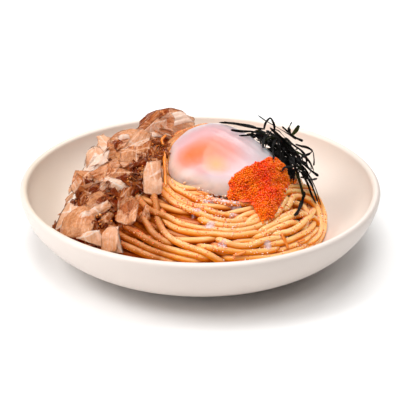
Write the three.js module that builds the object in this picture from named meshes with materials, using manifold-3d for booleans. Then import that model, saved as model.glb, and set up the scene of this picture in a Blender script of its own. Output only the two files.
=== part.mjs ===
// A plate of pasta: a shallow stoneware bowl that holds a twirled nest of spaghetti, topped with a
// soft-set egg, a heap of flying-fish roe, a tangle of shredded seaweed and a drift of bonito shavings.
// Units are millimetres, +Z is up, and the origin is the centre of the foot ring's resting plane.
// +X is to the diner's right and -Y is towards the diner.
import * as THREE from "three";
import { mergeVertices } from "three/addons/utils/BufferGeometryUtils.js";
import Module from "manifold-3d";

const wasm = await Module();
wasm.setup();

// ---------- driving dimensions ----------
const RIM_RADIUS = 105;
const BOWL_HEIGHT = 40;
const WALL = 4.6;
const FOOT_RADIUS = 54;
const FOOT_WIDTH = 6;
const FOOT_DEPTH = 2.2;
const FOOT_CHAMFER = 1;
const WELL_FLOOR = 7.6; // height of the inside's floor above the table
const WELL_FLAT_RADIUS = 46; // where the inside starts to climb
const BOWL_SIDES = 44;
const CURVE_STEPS = 7; // facets up each side of the bowl
const LIP_STEPS = 4; // facets over the rounded lip

const NEST_CENTRE = [0, -8];
const NEST_HALF = [75, 68]; // half-lengths across and front to back
const NEST_PEAK = [4, 26]; // the twirl's top stands behind the middle
const NEST_PEAK_HEIGHT = 64.5;
const NEST_SLOPE_POWER = 1.35; // above 1, the mound is rounder at its top
const NEST_SHOULDER_HEIGHT = 27; // height of the outermost strands at the sides
const NEST_SHOULDER_LEAN = 4; // how much higher they stand in front, and lower behind
const STRAND_RIDGES = 5; // ridges between the peak and the edge
const RIDGE_DEPTH = 0.8;
const NEST_ROUNDING = 8; // how far the outermost strands curl down at the edge
const ROUNDING_START = 0.84; // where that begins, as a share of the way to the edge

const EGG_THICKNESS = 8.5;
const EGG_SLUMP = 0.25; // how much thicker its right end is, as a share
const YOLK_RADIUS = 13.5;
const YOLK_HEIGHT = 7;
const YOLK_SWELL = 3.5; // how far the white rises over the yolk
const ROE_THICKNESS = 5.5;
const SEAWEED_THICKNESS = 8;
const SEAWEED_BRIDGING = 0.4; // how much thicker it is for each millimetre that the mound falls away
const BONITO_THICKNESS = 6;
const FLAKE_THICKNESS = 0.9;
const FLAKE_ROUNDING = 1.2; // how much a shaving narrows towards its ends, most of all along its upper side

const GAP = 0.3; // free space kept between neighbouring solids
const SEAT_GAP = 0.45; // how far a sloping seat is lifted to keep that gap square to it
const CUT_LEVEL = 5; // height where a heap's raw solid ends, inside the bowl's floor
const THIN_EDGE = 0.8; // thickness of a heap at its edge

const TURN = 2 * Math.PI;
const DEGREE = Math.PI / 180;

// ---------- colours and finishes ----------
const finish = (color, roughness) =>
  new THREE.MeshStandardMaterial({ color, roughness, metalness: 0 });
const GLAZE = finish(0xe9dccf, 0.45);
const SPAGHETTI = finish(0xf0b878, 0.4);
const EGG_WHITE = finish(0xf3dcd8, 0.2);
const EGG_YOLK = finish(0xff9c55, 0.3);
const ROE = finish(0xf0520e, 0.2);
const SEAWEED = finish(0x14150f, 0.5);
const BONITO = finish(0xcf9a7c, 0.5);

// ---------- between three.js geometry and solids ----------
function toSolid(geometry) {
  const bare = geometry.clone();
  bare.deleteAttribute("normal");
  bare.deleteAttribute("uv");
  const merged = mergeVertices(bare, 1e-4);
  return new wasm.Manifold(
    new wasm.Mesh({
      numProp: 3,
      vertProperties: merged.attributes.position.array,
      triVerts: new Uint32Array(merged.index.array),
    }),
  );
}

function toGeometry(solid) {
  const mesh = solid.getMesh();
  const geometry = new THREE.BufferGeometry();
  geometry.setAttribute("position", new THREE.BufferAttribute(mesh.vertProperties, 3));
  geometry.setIndex(new THREE.BufferAttribute(mesh.triVerts, 1));
  geometry.computeVertexNormals();
  return geometry;
}

// A cut can leave crumbs at a thin edge, so the piece is the largest body that remains.
function cut(solid, ...cutters) {
  const rest = cutters.reduce((left, cutter) => left.subtract(cutter), solid);
  const bodies = rest.decompose();
  bodies.sort((a, b) => b.volume() - a.volume());
  return bodies[0];
}

// ---------- the bowl ----------
// The inside's curve, from the lip down to the flat floor, raised by a margin when it cuts the food.
function wellCurve(margin) {
  return new THREE.CubicBezierCurve(
    new THREE.Vector2(RIM_RADIUS - WALL - margin, BOWL_HEIGHT - WALL / 2),
    new THREE.Vector2(98.6 - margin, 23 + margin),
    new THREE.Vector2(84 - margin, WELL_FLOOR + margin),
    new THREE.Vector2(WELL_FLAT_RADIUS, WELL_FLOOR + margin),
  );
}

function bowlGeometry(margin) {
  const lip = WALL / 2;
  const outside = new THREE.CubicBezierCurve(
    new THREE.Vector2(FOOT_RADIUS + 2, FOOT_DEPTH + 0.9),
    new THREE.Vector2(87.5, 3),
    new THREE.Vector2(103.5, 22.5),
    new THREE.Vector2(RIM_RADIUS, BOWL_HEIGHT - lip),
  );
  const profile = [
    new THREE.Vector2(0, FOOT_DEPTH),
    new THREE.Vector2(FOOT_RADIUS - FOOT_WIDTH - FOOT_CHAMFER, FOOT_DEPTH),
    new THREE.Vector2(FOOT_RADIUS - FOOT_WIDTH, 0),
    new THREE.Vector2(FOOT_RADIUS - FOOT_CHAMFER, 0),
    new THREE.Vector2(FOOT_RADIUS, FOOT_CHAMFER),
    ...outside.getPoints(CURVE_STEPS),
  ];
  for (let step = 1; step < LIP_STEPS; step++) {
    const angle = (step / LIP_STEPS) * Math.PI;
    const radius = RIM_RADIUS - lip + Math.cos(angle) * lip;
    profile.push(new THREE.Vector2(radius, BOWL_HEIGHT - lip + Math.sin(angle) * lip));
  }
  profile.push(...wellCurve(margin).getPoints(CURVE_STEPS));
  profile.push(new THREE.Vector2(0, WELL_FLOOR + margin));
  return new THREE.LatheGeometry(profile, BOWL_SIDES).rotateX(Math.PI / 2);
}

// ---------- heaps: an uneven top over a wavy oval, closed by a flat bottom ----------
// An outline has a centre, two half-lengths, the turn of the first and waves of [size, lobes, phase]
// along its edge, or a function that gives the edge's distance.
function edgeDistance(outline, angle) {
  const turned = angle - outline.turn;
  const [across, along] = outline.half;
  const oval = 1 / Math.hypot(Math.cos(turned) / across, Math.sin(turned) / along);
  const waves = outline.waves.map(([size, lobes, phase]) => size * Math.sin(lobes * angle + phase));
  return oval * waves.reduce((sum, wave) => sum + wave, 1);
}

// 0 at the outline's centre, 1 at its edge.
function share(outline, x, y) {
  const dx = x - outline.centre[0];
  const dy = y - outline.centre[1];
  return Math.hypot(dx, dy) / edgeDistance(outline, Math.atan2(dy, dx));
}

// Rings crowd towards the edge, where a heap is steepest.
const RING_SPACING = 0.85;

function heapGeometry({ outline, top, rings, sectors }, margin) {
  const [cx, cy] = outline.centre;
  const edge = outline.edge ?? ((angle) => edgeDistance(outline, angle));
  const points = [cx, cy, top(cx, cy) + margin, cx, cy, CUT_LEVEL];
  for (let ring = 1; ring <= rings; ring++) {
    for (let sector = 0; sector < sectors; sector++) {
      const angle = (sector / sectors) * TURN;
      const radius = Math.pow(ring / rings, RING_SPACING) * (edge(angle) + margin);
      const x = cx + radius * Math.cos(angle);
      const y = cy + radius * Math.sin(angle);
      points.push(x, y, top(x, y) + margin);
    }
  }
  for (let sector = 0; sector < sectors; sector++) {
    const angle = (sector / sectors) * TURN;
    const radius = edge(angle) + margin;
    points.push(cx + radius * Math.cos(angle), cy + radius * Math.sin(angle), CUT_LEVEL);
  }
  const at = (ring, sector) => 2 + (ring - 1) * sectors + (sector % sectors);
  const faces = [];
  for (let s = 0; s < sectors; s++) {
    faces.push(0, at(1, s), at(1, s + 1));
    for (let ring = 1; ring <= rings; ring++) {
      faces.push(at(ring, s), at(ring + 1, s), at(ring + 1, s + 1));
      faces.push(at(ring, s), at(ring + 1, s + 1), at(ring, s + 1));
    }
    faces.push(1, at(rings + 1, s + 1), at(rings + 1, s));
  }
  const geometry = new THREE.BufferGeometry();
  geometry.setAttribute("position", new THREE.Float32BufferAttribute(points, 3));
  geometry.setIndex(faces);
  return geometry;
}

const rawHeap = (shape) => toSolid(heapGeometry(shape, 0));
const seatCutter = (shape) => toSolid(heapGeometry(shape, SEAT_GAP));

// ---------- the nest of noodles ----------
// Distance from the peak to the nest's slightly uneven round edge.
function nestEdge(angle) {
  const [halfX, halfY] = NEST_HALF;
  const x = (NEST_PEAK[0] - NEST_CENTRE[0]) / halfX;
  const y = (NEST_PEAK[1] - NEST_CENTRE[1]) / halfY;
  const alongX = Math.cos(angle) / halfX;
  const alongY = Math.sin(angle) / halfY;
  const speed = alongX ** 2 + alongY ** 2;
  const meet = x * alongX + y * alongY;
  const oval = (Math.sqrt(meet ** 2 + speed * (1 - x ** 2 - y ** 2)) - meet) / speed;
  return oval * (1 + 0.018 * Math.sin(5 * angle + 1) + 0.012 * Math.sin(11 * angle));
}

function nestShare(x, y) {
  const dx = x - NEST_PEAK[0];
  const dy = y - NEST_PEAK[1];
  return Math.min(1, Math.hypot(dx, dy) / nestEdge(Math.atan2(dy, dx)));
}

// The mound without its ridges, which is what soft toppings settle on.
function moundTop(x, y) {
  const angle = Math.atan2(y - NEST_PEAK[1], x - NEST_PEAK[0]);
  const shoulder = NEST_SHOULDER_HEIGHT - NEST_SHOULDER_LEAN * Math.sin(angle);
  const out = nestShare(x, y);
  const beyond = Math.max(0, out - ROUNDING_START) / (1 - ROUNDING_START);
  const curl = NEST_ROUNDING * (1 - Math.sqrt(1 - beyond ** 2));
  return NEST_PEAK_HEIGHT - (NEST_PEAK_HEIGHT - shoulder) * Math.pow(out, NEST_SLOPE_POWER) - curl;
}

// Ridges run round the nest and climb as they go, as twirled strands do.
function nestTop(x, y) {
  const out = nestShare(x, y);
  const angle = Math.atan2(y - NEST_PEAK[1], x - NEST_PEAK[0]);
  const ridge = RIDGE_DEPTH * Math.sin(TURN * STRAND_RIDGES * out + 2 * angle);
  const sway = 0.7 * Math.sin(3 * angle + 1) * out;
  return moundTop(x, y) + ridge * Math.min(1, 5 * out) + sway;
}

const nestShape = {
  outline: { centre: NEST_PEAK, edge: nestEdge },
  top: nestTop,
  rings: 12,
  sectors: 48,
};

// ---------- the egg ----------
const eggOutline = {
  centre: [15, -6],
  half: [35, 30.5],
  turn: 0,
  waves: [
    [0.025, 3, 2.6],
    [0.015, 5, 2],
  ],
};
const yolkOutline = { centre: [2, -6], half: [YOLK_RADIUS, YOLK_RADIUS], turn: 0, waves: [] };

function eggTop(x, y) {
  const out = Math.min(1, share(eggOutline, x, y));
  const slump = 1 + (EGG_SLUMP * (x - eggOutline.centre[0])) / eggOutline.half[0];
  const body = EGG_THICKNESS * slump * Math.pow(1 - Math.pow(out, 2.4), 0.6);
  const swell = YOLK_SWELL * Math.exp(-(share(yolkOutline, x, y) ** 2));
  return moundTop(x, y) + THIN_EDGE + body + swell * Math.min(1, 2 - 2 * out);
}

function yolkTop(x, y) {
  const out = Math.min(1, share(yolkOutline, x, y));
  return moundTop(x, y) + THIN_EDGE + YOLK_HEIGHT * Math.sqrt(1 - out ** 2);
}

const eggShape = { outline: eggOutline, top: eggTop, rings: 6, sectors: 28 };
const yolkShape = { outline: yolkOutline, top: yolkTop, rings: 4, sectors: 18 };

// ---------- the heaps of small things ----------
// Smooth unevenness with waves about `pitch` millimetres apart.
const bumps = (x, y, pitch) =>
  (Math.sin((TURN * x) / pitch + Math.cos((TURN * y) / (1.7 * pitch))) +
    Math.sin((TURN * y) / pitch + Math.cos((TURN * x) / (1.3 * pitch)))) /
  2;

// The roe spreads in three lobes of [bearing in degrees, length], with straight sides between them.
const ROE_CENTRE = [38, -27];
const ROE_WAIST = 10;
const ROE_LOBES = [
  [62, 17],
  [204, 16],
  [263, 15],
];
const ROE_LOBE_SPREAD = 24;

function roeEdge(angle) {
  const lobes = ROE_LOBES.map(([bearing, length]) => {
    const off = Math.abs((((angle / DEGREE - bearing) % 360) + 540) % 360 - 180);
    return length * Math.exp(-((off / ROE_LOBE_SPREAD) ** 2));
  });
  return lobes.reduce((sum, lobe) => sum + lobe, ROE_WAIST);
}

// The higher of the egg and the mound of noodles, which carries the roe and the seaweed.
function seatUnder(x, y) {
  return share(eggOutline, x, y) < 1 ? eggTop(x, y) : moundTop(x, y);
}

function roeTop(x, y) {
  const dx = x - ROE_CENTRE[0];
  const dy = y - ROE_CENTRE[1];
  const out = Math.min(1, Math.hypot(dx, dy) / roeEdge(Math.atan2(dy, dx)));
  const body = ROE_THICKNESS * Math.pow(1 - out ** 2, 0.45);
  return seatUnder(x, y) + THIN_EDGE + body + 0.5 * bumps(x, y, 9);
}

const roeShape = {
  outline: { centre: ROE_CENTRE, edge: roeEdge },
  top: roeTop,
  rings: 5,
  sectors: 30,
};

const seaweedOutline = {
  centre: [50, 10],
  half: [30, 14],
  turn: -48 * DEGREE,
  waves: [
    [0.1, 5, 1],
    [0.06, 9, 0],
  ],
};

function seaweedTop(x, y) {
  const out = Math.min(1, share(seaweedOutline, x, y));
  const fall = NEST_PEAK_HEIGHT - moundTop(x, y);
  const body = (SEAWEED_THICKNESS + SEAWEED_BRIDGING * fall) * Math.pow(1 - out ** 2, 0.5);
  return seatUnder(x, y) + THIN_EDGE + body + 0.9 * bumps(x, y, 11);
}

const seaweedShape = { outline: seaweedOutline, top: seaweedTop, rings: 5, sectors: 26 };

const bonitoOutline = {
  centre: [-49, -8],
  half: [54, 25],
  turn: 64 * DEGREE,
  waves: [
    [0.05, 3, 2],
    [0.04, 7, 1],
  ],
};

function bonitoTop(x, y) {
  const out = Math.min(1, share(bonitoOutline, x, y));
  const body = BONITO_THICKNESS * Math.pow(1 - out ** 2, 0.5);
  return moundTop(x, y) + THIN_EDGE + body + 1.2 * bumps(x, y, 14);
}

const bonitoShape = { outline: bonitoOutline, top: bonitoTop, rings: 5, sectors: 26 };

// ---------- the bonito shavings that stand clear of the drift ----------
// size is the length and width, turned by roll about the length, then pitch, then yaw.
// bow is how far the ends and the sides curl down from the middle.
const flakes = [
  { at: [-21.5, 37.5, 62], size: [35, 18], roll: 50, pitch: -5, yaw: 0, bow: [13, 2] },
  { at: [-42, 14.5, 54.5], size: [28, 25], roll: 28, pitch: -12, yaw: 0, bow: [2, -2] },
  { at: [-26.5, -25, 53], size: [11.5, 22], roll: 34, pitch: 4, yaw: 4, bow: [0.5, 2] },
  { at: [-56, 27, 48.5], size: [12, 13], roll: 62, pitch: -20, yaw: 20, bow: [1.5, 1] },
  { at: [-61.5, 8, 48], size: [12, 17], roll: 66, pitch: -10, yaw: -12, bow: [-1.5, 1] },
  { at: [-50, -14, 48.5], size: [26, 18], roll: 30, pitch: -16, yaw: -6, bow: [2.5, -1.5] },
  { at: [-70, -12, 39.5], size: [8, 17], roll: 58, pitch: -25, yaw: -20, bow: [1, 1] },
  { at: [-56.5, -32, 42.5], size: [16, 12], roll: 28, pitch: -12, yaw: 18, bow: [2, 1.5] },
  { at: [-40, -46, 41.5], size: [11, 17], roll: 42, pitch: 6, yaw: -12, bow: [1, -1.5] },
  { at: [-68, -45, 36], size: [20, 23], roll: 26, pitch: -12, yaw: -18, bow: [2, 2] },
  { at: [-49, -62, 33], size: [9.5, 15], roll: 48, pitch: -4, yaw: -10, bow: [0.5, 2] },
];

function flakeGeometry([length, width], [bowEnds, bowSides], margin) {
  const [columns, rows] = [5, 4];
  const half = FLAKE_THICKNESS / 2 + margin;
  const points = [];
  for (const side of [half, -half]) {
    for (let row = 0; row <= rows; row++) {
      for (let column = 0; column <= columns; column++) {
        const along = (column / columns - 0.5) * (length + 2 * margin);
        const across = (row / rows - 0.5) * (width + 2 * margin);
        const u = along / length;
        const v = across / width;
        const narrowing = 1 - FLAKE_ROUNDING * u * u * (1 + v);
        const drop = 4 * (bowEnds * u * u + bowSides * v * v);
        points.push(along, across * narrowing, side - drop);
      }
    }
  }
  const wide = columns + 1;
  const layer = wide * (rows + 1);
  const faces = [];
  for (let row = 0; row < rows; row++) {
    for (let column = 0; column < columns; column++) {
      const a = row * wide + column;
      faces.push(a, a + 1, a + wide + 1, a, a + wide + 1, a + wide);
      faces.push(a + layer, a + layer + wide + 1, a + layer + 1);
      faces.push(a + layer, a + layer + wide, a + layer + wide + 1);
    }
  }
  const wall = (a, b) => faces.push(a, a + layer, b + layer, a, b + layer, b);
  for (let column = 0; column < columns; column++) {
    wall(column, column + 1);
    wall(rows * wide + column + 1, rows * wide + column);
  }
  for (let row = 0; row < rows; row++) {
    wall((row + 1) * wide, row * wide);
    wall(row * wide + columns, (row + 1) * wide + columns);
  }
  const geometry = new THREE.BufferGeometry();
  geometry.setAttribute("position", new THREE.Float32BufferAttribute(points, 3));
  geometry.setIndex(faces);
  return geometry;
}

function flakeMesh({ at, size, roll, pitch, yaw, bow }, margin) {
  const mesh = new THREE.Mesh(flakeGeometry(size, bow, margin), BONITO);
  mesh.position.set(...at);
  mesh.rotation.set(roll * DEGREE, pitch * DEGREE, yaw * DEGREE, "ZYX");
  mesh.updateMatrix();
  return mesh;
}

const placedSolid = (mesh) => toSolid(mesh.geometry.clone().applyMatrix4(mesh.matrix));

// ---------- the plate of pasta ----------
const bowlCutter = toSolid(bowlGeometry(GAP));
const nestCutter = seatCutter(nestShape);
const eggCutter = seatCutter(eggShape);
const flakeCutters = flakes.map((flake) => placedSolid(flakeMesh(flake, GAP)));

const bowl = toSolid(bowlGeometry(0));
const nest = cut(rawHeap(nestShape), bowlCutter, ...flakeCutters);
const eggYolk = cut(rawHeap(yolkShape), nestCutter);
const eggWhite = cut(rawHeap(eggShape), nestCutter, seatCutter(yolkShape));
const roe = cut(rawHeap(roeShape), nestCutter, eggCutter);
const seaweed = cut(rawHeap(seaweedShape), nestCutter, eggCutter, seatCutter(roeShape));
const bonito = cut(rawHeap(bonitoShape), nestCutter, eggCutter, bowlCutter, ...flakeCutters);

const plate = new THREE.Group();
function addPiece(name, solid, material) {
  const mesh = new THREE.Mesh(toGeometry(solid), material);
  mesh.name = name;
  plate.add(mesh);
}
addPiece("bowl", bowl, GLAZE);
addPiece("pasta_nest", nest, SPAGHETTI);
addPiece("egg_white", eggWhite, EGG_WHITE);
addPiece("egg_yolk", eggYolk, EGG_YOLK);
addPiece("roe_heap", roe, ROE);
addPiece("seaweed_heap", seaweed, SEAWEED);
addPiece("bonito_heap", bonito, BONITO);
flakes.forEach((flake, index) => {
  const mesh = flakeMesh(flake, 0);
  mesh.name = `bonito_flake_${index + 1}`;
  plate.add(mesh);
});

export default plate;
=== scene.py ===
import math

import bmesh
import bpy
import numpy as np
from mathutils import Matrix, Vector
from mathutils.bvhtree import BVHTree


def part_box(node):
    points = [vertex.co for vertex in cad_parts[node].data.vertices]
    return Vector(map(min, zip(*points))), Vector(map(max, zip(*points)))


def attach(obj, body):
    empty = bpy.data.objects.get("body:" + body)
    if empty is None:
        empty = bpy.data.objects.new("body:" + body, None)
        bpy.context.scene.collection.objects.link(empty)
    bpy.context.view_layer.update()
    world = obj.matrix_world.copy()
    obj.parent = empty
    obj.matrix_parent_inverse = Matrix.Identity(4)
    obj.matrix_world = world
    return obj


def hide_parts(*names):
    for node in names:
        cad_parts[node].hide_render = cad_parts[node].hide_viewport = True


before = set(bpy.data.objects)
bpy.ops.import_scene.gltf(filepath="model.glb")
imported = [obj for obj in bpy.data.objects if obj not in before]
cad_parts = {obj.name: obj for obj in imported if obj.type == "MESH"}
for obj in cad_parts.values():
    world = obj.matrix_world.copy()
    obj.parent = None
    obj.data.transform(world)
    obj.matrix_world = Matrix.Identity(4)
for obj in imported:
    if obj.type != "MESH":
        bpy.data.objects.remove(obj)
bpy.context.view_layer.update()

BODY = "root"
MM = 0.001
FULL_TURN = 2 * math.pi
rng = np.random.default_rng(11)


# ---------------------------------------------------------------- meshes
def cad_mesh(node):
    """Vertices in mm and triangles of a CAD node."""
    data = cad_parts[node].data
    data.calc_loop_triangles()
    co = np.array([v.co for v in data.vertices], float).reshape(-1, 3) / MM
    return co, np.array([t.vertices[:] for t in data.loop_triangles], int)


def node_box(node):
    """The lowest and the highest corner of a CAD node's box, in mm."""
    low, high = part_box(node)
    return np.array(low) / MM, np.array(high) / MM


def tree_of(co, faces):
    return BVHTree.FromPolygons([tuple(p) for p in co], [tuple(f) for f in faces])


def merged(parts):
    """Several meshes as one."""
    points, faces, base = [], [], 0
    for part, part_faces in parts:
        points.append(part)
        faces += [tuple(i + base for i in face) for face in part_faces]
        base += len(part)
    return np.concatenate(points), faces


def solids_tree(*nodes):
    return tree_of(*merged(cad_mesh(node) for node in nodes))


def make_piece(name, co, faces, material, slot, nodes=(), attributes=None, smooth=True):
    """A mesh from points in mm, riding on the body."""
    mesh = bpy.data.meshes.new(name)
    mesh.from_pydata((np.asarray(co) * MM).tolist(), [], [list(map(int, f)) for f in faces])
    mesh.polygons.foreach_set("use_smooth", [smooth] * len(mesh.polygons))
    for key, values in (attributes or {}).items():
        layer = mesh.attributes.new(key, "FLOAT", "POINT")
        layer.data.foreach_set("value", np.asarray(values, np.float32))
    mesh.materials.append(material)
    mesh.update()
    piece = bpy.data.objects.new(name, mesh)
    bpy.context.scene.collection.objects.link(piece)
    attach(piece, BODY)
    if nodes:
        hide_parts(*nodes)


def ring_quads(rings, turns, base=0):
    """Quads between rings of points that follow one another."""
    quads = []
    for low in range(base, base + (rings - 1) * turns, turns):
        for i in range(turns):
            j = (i + 1) % turns
            quads.append((low + i, low + j, low + turns + j, low + turns + i))
    return quads


def ring_faces(rings, turns, base=0):
    """A closed skin of rings, with the point at its start and the point at its end after them."""
    faces = ring_quads(rings, turns, base)
    last, start = base + (rings - 1) * turns, base + rings * turns
    for i in range(turns):
        j = (i + 1) % turns
        faces.append((start, base + j, base + i))
        faces.append((start + 1, last + i, last + j))
    return faces


def flipped(faces):
    return [face[:1] + face[:0:-1] for face in faces]


def unit(v):
    v = np.asarray(v, float)
    return v / np.maximum(np.linalg.norm(v, axis=-1, keepdims=True), 1e-12)


def smoothed(path, rounds=1):
    """A row of points or values with its ends kept."""
    for _ in range(rounds):
        path = np.concatenate([path[:1], path[1:-1] * 0.5 + (path[:-2] + path[2:]) * 0.25, path[-1:]])
    return path


def softened(ring, rounds=1):
    """Values round a closed ring, blended with their neighbours."""
    for _ in range(rounds):
        ring = (np.roll(ring, 1, -1) + ring * 2 + np.roll(ring, -1, -1)) / 4
    return ring


def between(table, i, j, next_j, f, g):
    """The value between four cells of a table."""
    return (table[i, j] * (1 - f) * (1 - g) + table[i + 1, j] * f * (1 - g)
            + table[i, next_j] * (1 - f) * g + table[i + 1, next_j] * f * g)


def drop(tree, x, y, beside=None):
    """Height of what is under a point, or the value for beside it."""
    above_all = 120.0
    at = tree.ray_cast(Vector((x, y, above_all)), Vector((0, 0, -1)))[0]
    return beside if at is None else at.z


# ---------------------------------------------------------------- materials
class Paint:
    """A material's node tree."""

    def __init__(self, name):
        self.material = bpy.data.materials.new(name)
        self.material.use_nodes = True
        self.tree = self.material.node_tree
        self.tree.nodes.clear()
        self.out = self.node("OutputMaterial")
        self.coords = self.node("TexCoord").outputs["Object"]

    def node(self, kind, *values, **named):
        """A node with its inputs set, in order or by name."""
        n = self.tree.nodes.new("ShaderNode" + kind)
        for socket, value in zip(n.inputs, values):
            self.put(socket, value)
        for key, value in named.items():
            self.put(n.inputs[key.replace("_", " ")], value)
        return n

    def put(self, socket, value):
        if isinstance(value, bpy.types.NodeSocket):
            self.tree.links.new(value, socket)
        elif isinstance(value, (tuple, list)) and len(value) == 3 and len(socket.default_value) == 4:
            socket.default_value = (*value, 1)
        else:
            socket.default_value = value

    def axes(self, vector):
        return self.node("SeparateXYZ", vector).outputs

    def normal(self):
        return self.node("NewGeometry").outputs["Normal"]

    def noise(self, scale, detail=3, rough=0.55, vector=None):
        n = self.node("TexNoise", Scale=scale, Detail=detail, Roughness=rough, Vector=vector or self.coords)
        return n.outputs["Fac"]

    def attribute(self, name):
        n = self.node("Attribute")
        n.attribute_name = name
        return n.outputs["Fac"]

    def math(self, operation, a, b=0.0, c=0.0):
        n = self.node("Math", a, b, c)
        n.operation = operation
        return n.outputs[0]

    def times(self, a, b):
        return self.math("MULTIPLY", a, b)

    def ramp(self, factor, low, high, to_low=0.0, to_high=1.0):
        n = self.node("MapRange", factor, low, high, to_low, to_high)
        n.clamp = True
        return n.outputs[0]

    def mix(self, factor, a, b):
        n = self.tree.nodes.new("ShaderNodeMix")
        n.data_type = "RGBA"
        for place, value in ((0, factor), (6, a), (7, b)):
            self.put(n.inputs[place], value)
        return n.outputs[2]

    def bump(self, height, strength, distance, **normal):
        n = self.node("Bump", Height=height, Strength=strength, Distance=distance, **normal)
        return n.outputs["Normal"]

    def finish(self, clear=None, clear_colour=(1, 1, 1), through=None, **inputs):
        """The material: lit from behind in the colour through, and see-through by the share clear."""
        surface = self.node("BsdfPrincipled", **inputs).outputs[0]
        if through is not None:
            lit = self.node("BsdfTranslucent", Color=through).outputs[0]
            surface = self.node("MixShader", 0.42, surface, lit).outputs[0]
        if clear is not None:
            glass = self.node("BsdfTransparent", Color=clear_colour).outputs[0]
            surface = self.node("MixShader", clear, surface, glass).outputs[0]
        self.put(self.out.inputs["Surface"], surface)
        return self.material


def plain(name, colour, rough, **more):
    """One colour, a little mottled."""
    p = Paint(name)
    tone = p.mix(p.noise(200), tuple(c * 0.85 for c in colour), colour)
    return p.finish(Base_Color=tone, Roughness=rough, **more)


# ---------------------------------------------------------------- the bowl
RIM, DEEP = 105.0, 40.0       # radius and height, in mm
LIP = 2.3                     # radius of the rounded lip
WELL_HEIGHT = 7.6             # height of the inside's floor
BOWL_SIDES = 180


def glaze_material():
    p = Paint("cream_glaze")
    x, y, _ = p.axes(p.coords)
    outward = p.node("VectorMath", p.normal(), p.node("CombineXYZ", x, y).outputs[0])
    outward.operation = "DOT_PRODUCT"
    # painted shade and painted warm reflection of the food: the inside is painted warmer and a little darker
    # towards the left
    inside = p.mix(p.ramp(x, -0.1, 0.06), (0.76, 0.635, 0.51), (0.75, 0.665, 0.59))
    # painted light: the inside is painted lighter towards the back
    inside = p.mix(p.ramp(y, 0.02, 0.09), inside, (0.84, 0.745, 0.66))
    # painted shade: the outside is a darker copy of the glaze
    tone = p.mix(p.ramp(outward.outputs["Value"], -0.01, 0.02), inside, (0.72, 0.625, 0.57))
    tone = p.mix(p.ramp(p.noise(14, 4), 0.3, 0.7, 0, 0.25), tone, (0.84, 0.76, 0.69))
    fleck = p.ramp(p.noise(900, 2), 0.66, 0.74)
    tone = p.mix(p.times(fleck, 0.12), tone, (0.62, 0.50, 0.40))
    return p.finish(Base_Color=tone, Roughness=p.ramp(p.noise(60), 0.2, 0.8, 0.34, 0.46),
                    Normal=p.bump(p.noise(220), 0.12, 0.0006), IOR=1.5, Coat_Weight=0.15, Coat_Roughness=0.2)


def bezier(a, b, c, d, count=34):
    t = np.linspace(0, 1, count)[:, None]
    a, b, c, d = (np.array(q, float) for q in (a, b, c, d))
    return (1 - t) ** 3 * a + 3 * (1 - t) ** 2 * t * b + 3 * (1 - t) * t * t * c + t ** 3 * d


def bowl_profile():
    """(radius, height) from the underside's middle, up the outside, over the lip and down to the well."""
    under = [(0, 2.6), (20, 2.55), (40, 2.4), (46, 2.3)]
    foot = [(47.0, 1.9), (47.6, 0.9), (48.4, 0.2), (49.2, 0), (52.0, 0), (52.8, 0.2), (53.4, 0.8),
            (54.2, 1.9), (55, 2.7)]
    lip_height = DEEP - LIP
    outside = bezier((56, 3.1), (87.5, 3), (103.5, 22.5), (RIM, lip_height))
    over = np.radians(np.linspace(0, 180, 13)[1:-1])
    lip = np.array((RIM - LIP, lip_height)) + LIP * np.stack([np.cos(over), np.sin(over)], 1)
    inside = bezier((RIM - 2 * LIP, lip_height), (98.6, 23), (84, WELL_HEIGHT), (46, WELL_HEIGHT))
    well = [(radius, WELL_HEIGHT) for radius in (34, 22, 10, 0)]
    return np.concatenate([under, foot, outside, lip, inside, well])


def lathe(profile, sides):
    """A turned skin. The profile starts and ends on the axis."""
    a = np.linspace(0, FULL_TURN, sides, endpoint=False)
    rings = [np.stack([r * np.cos(a), r * np.sin(a), np.full(sides, z)], 1) for r, z in profile[1:-1]]
    ends = [(0, 0, profile[0][1]), (0, 0, profile[-1][1])]
    return np.concatenate([*rings, ends]), ring_faces(len(rings), sides)


def make_bowl():
    co, faces = lathe(bowl_profile(), BOWL_SIDES)
    # a hand-thrown wobble, at most two tenths of a millimetre at the rim
    a = np.arctan2(co[:, 1], co[:, 0])
    grow = 1 + 0.0012 * np.sin(2 * a + 0.7) + 0.0008 * np.sin(5 * a)
    co[:, :2] *= grow[:, None]
    make_piece("bowl_glazed", co, faces, glaze_material(), "glaze", ["bowl"])


# ---------------------------------------------------------------- the nest
NEST_MIDDLE = np.array([-1.0, -8.0, 12.0])
NOODLE = 1.74                 # radius of a cooked strand, in mm
STEP = 2.0                    # distance between the points along it
STRAND_SIDES = 10
SETTLING_ROUNDS = 90
TABLE_STEP = 3                # degrees between the directions of the reach table
TABLE_LOW = -30               # its lowest direction, in degrees up from level
CORE_DEPTH = 5.0              # the dark inside starts this far under the mound's surface


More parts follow.
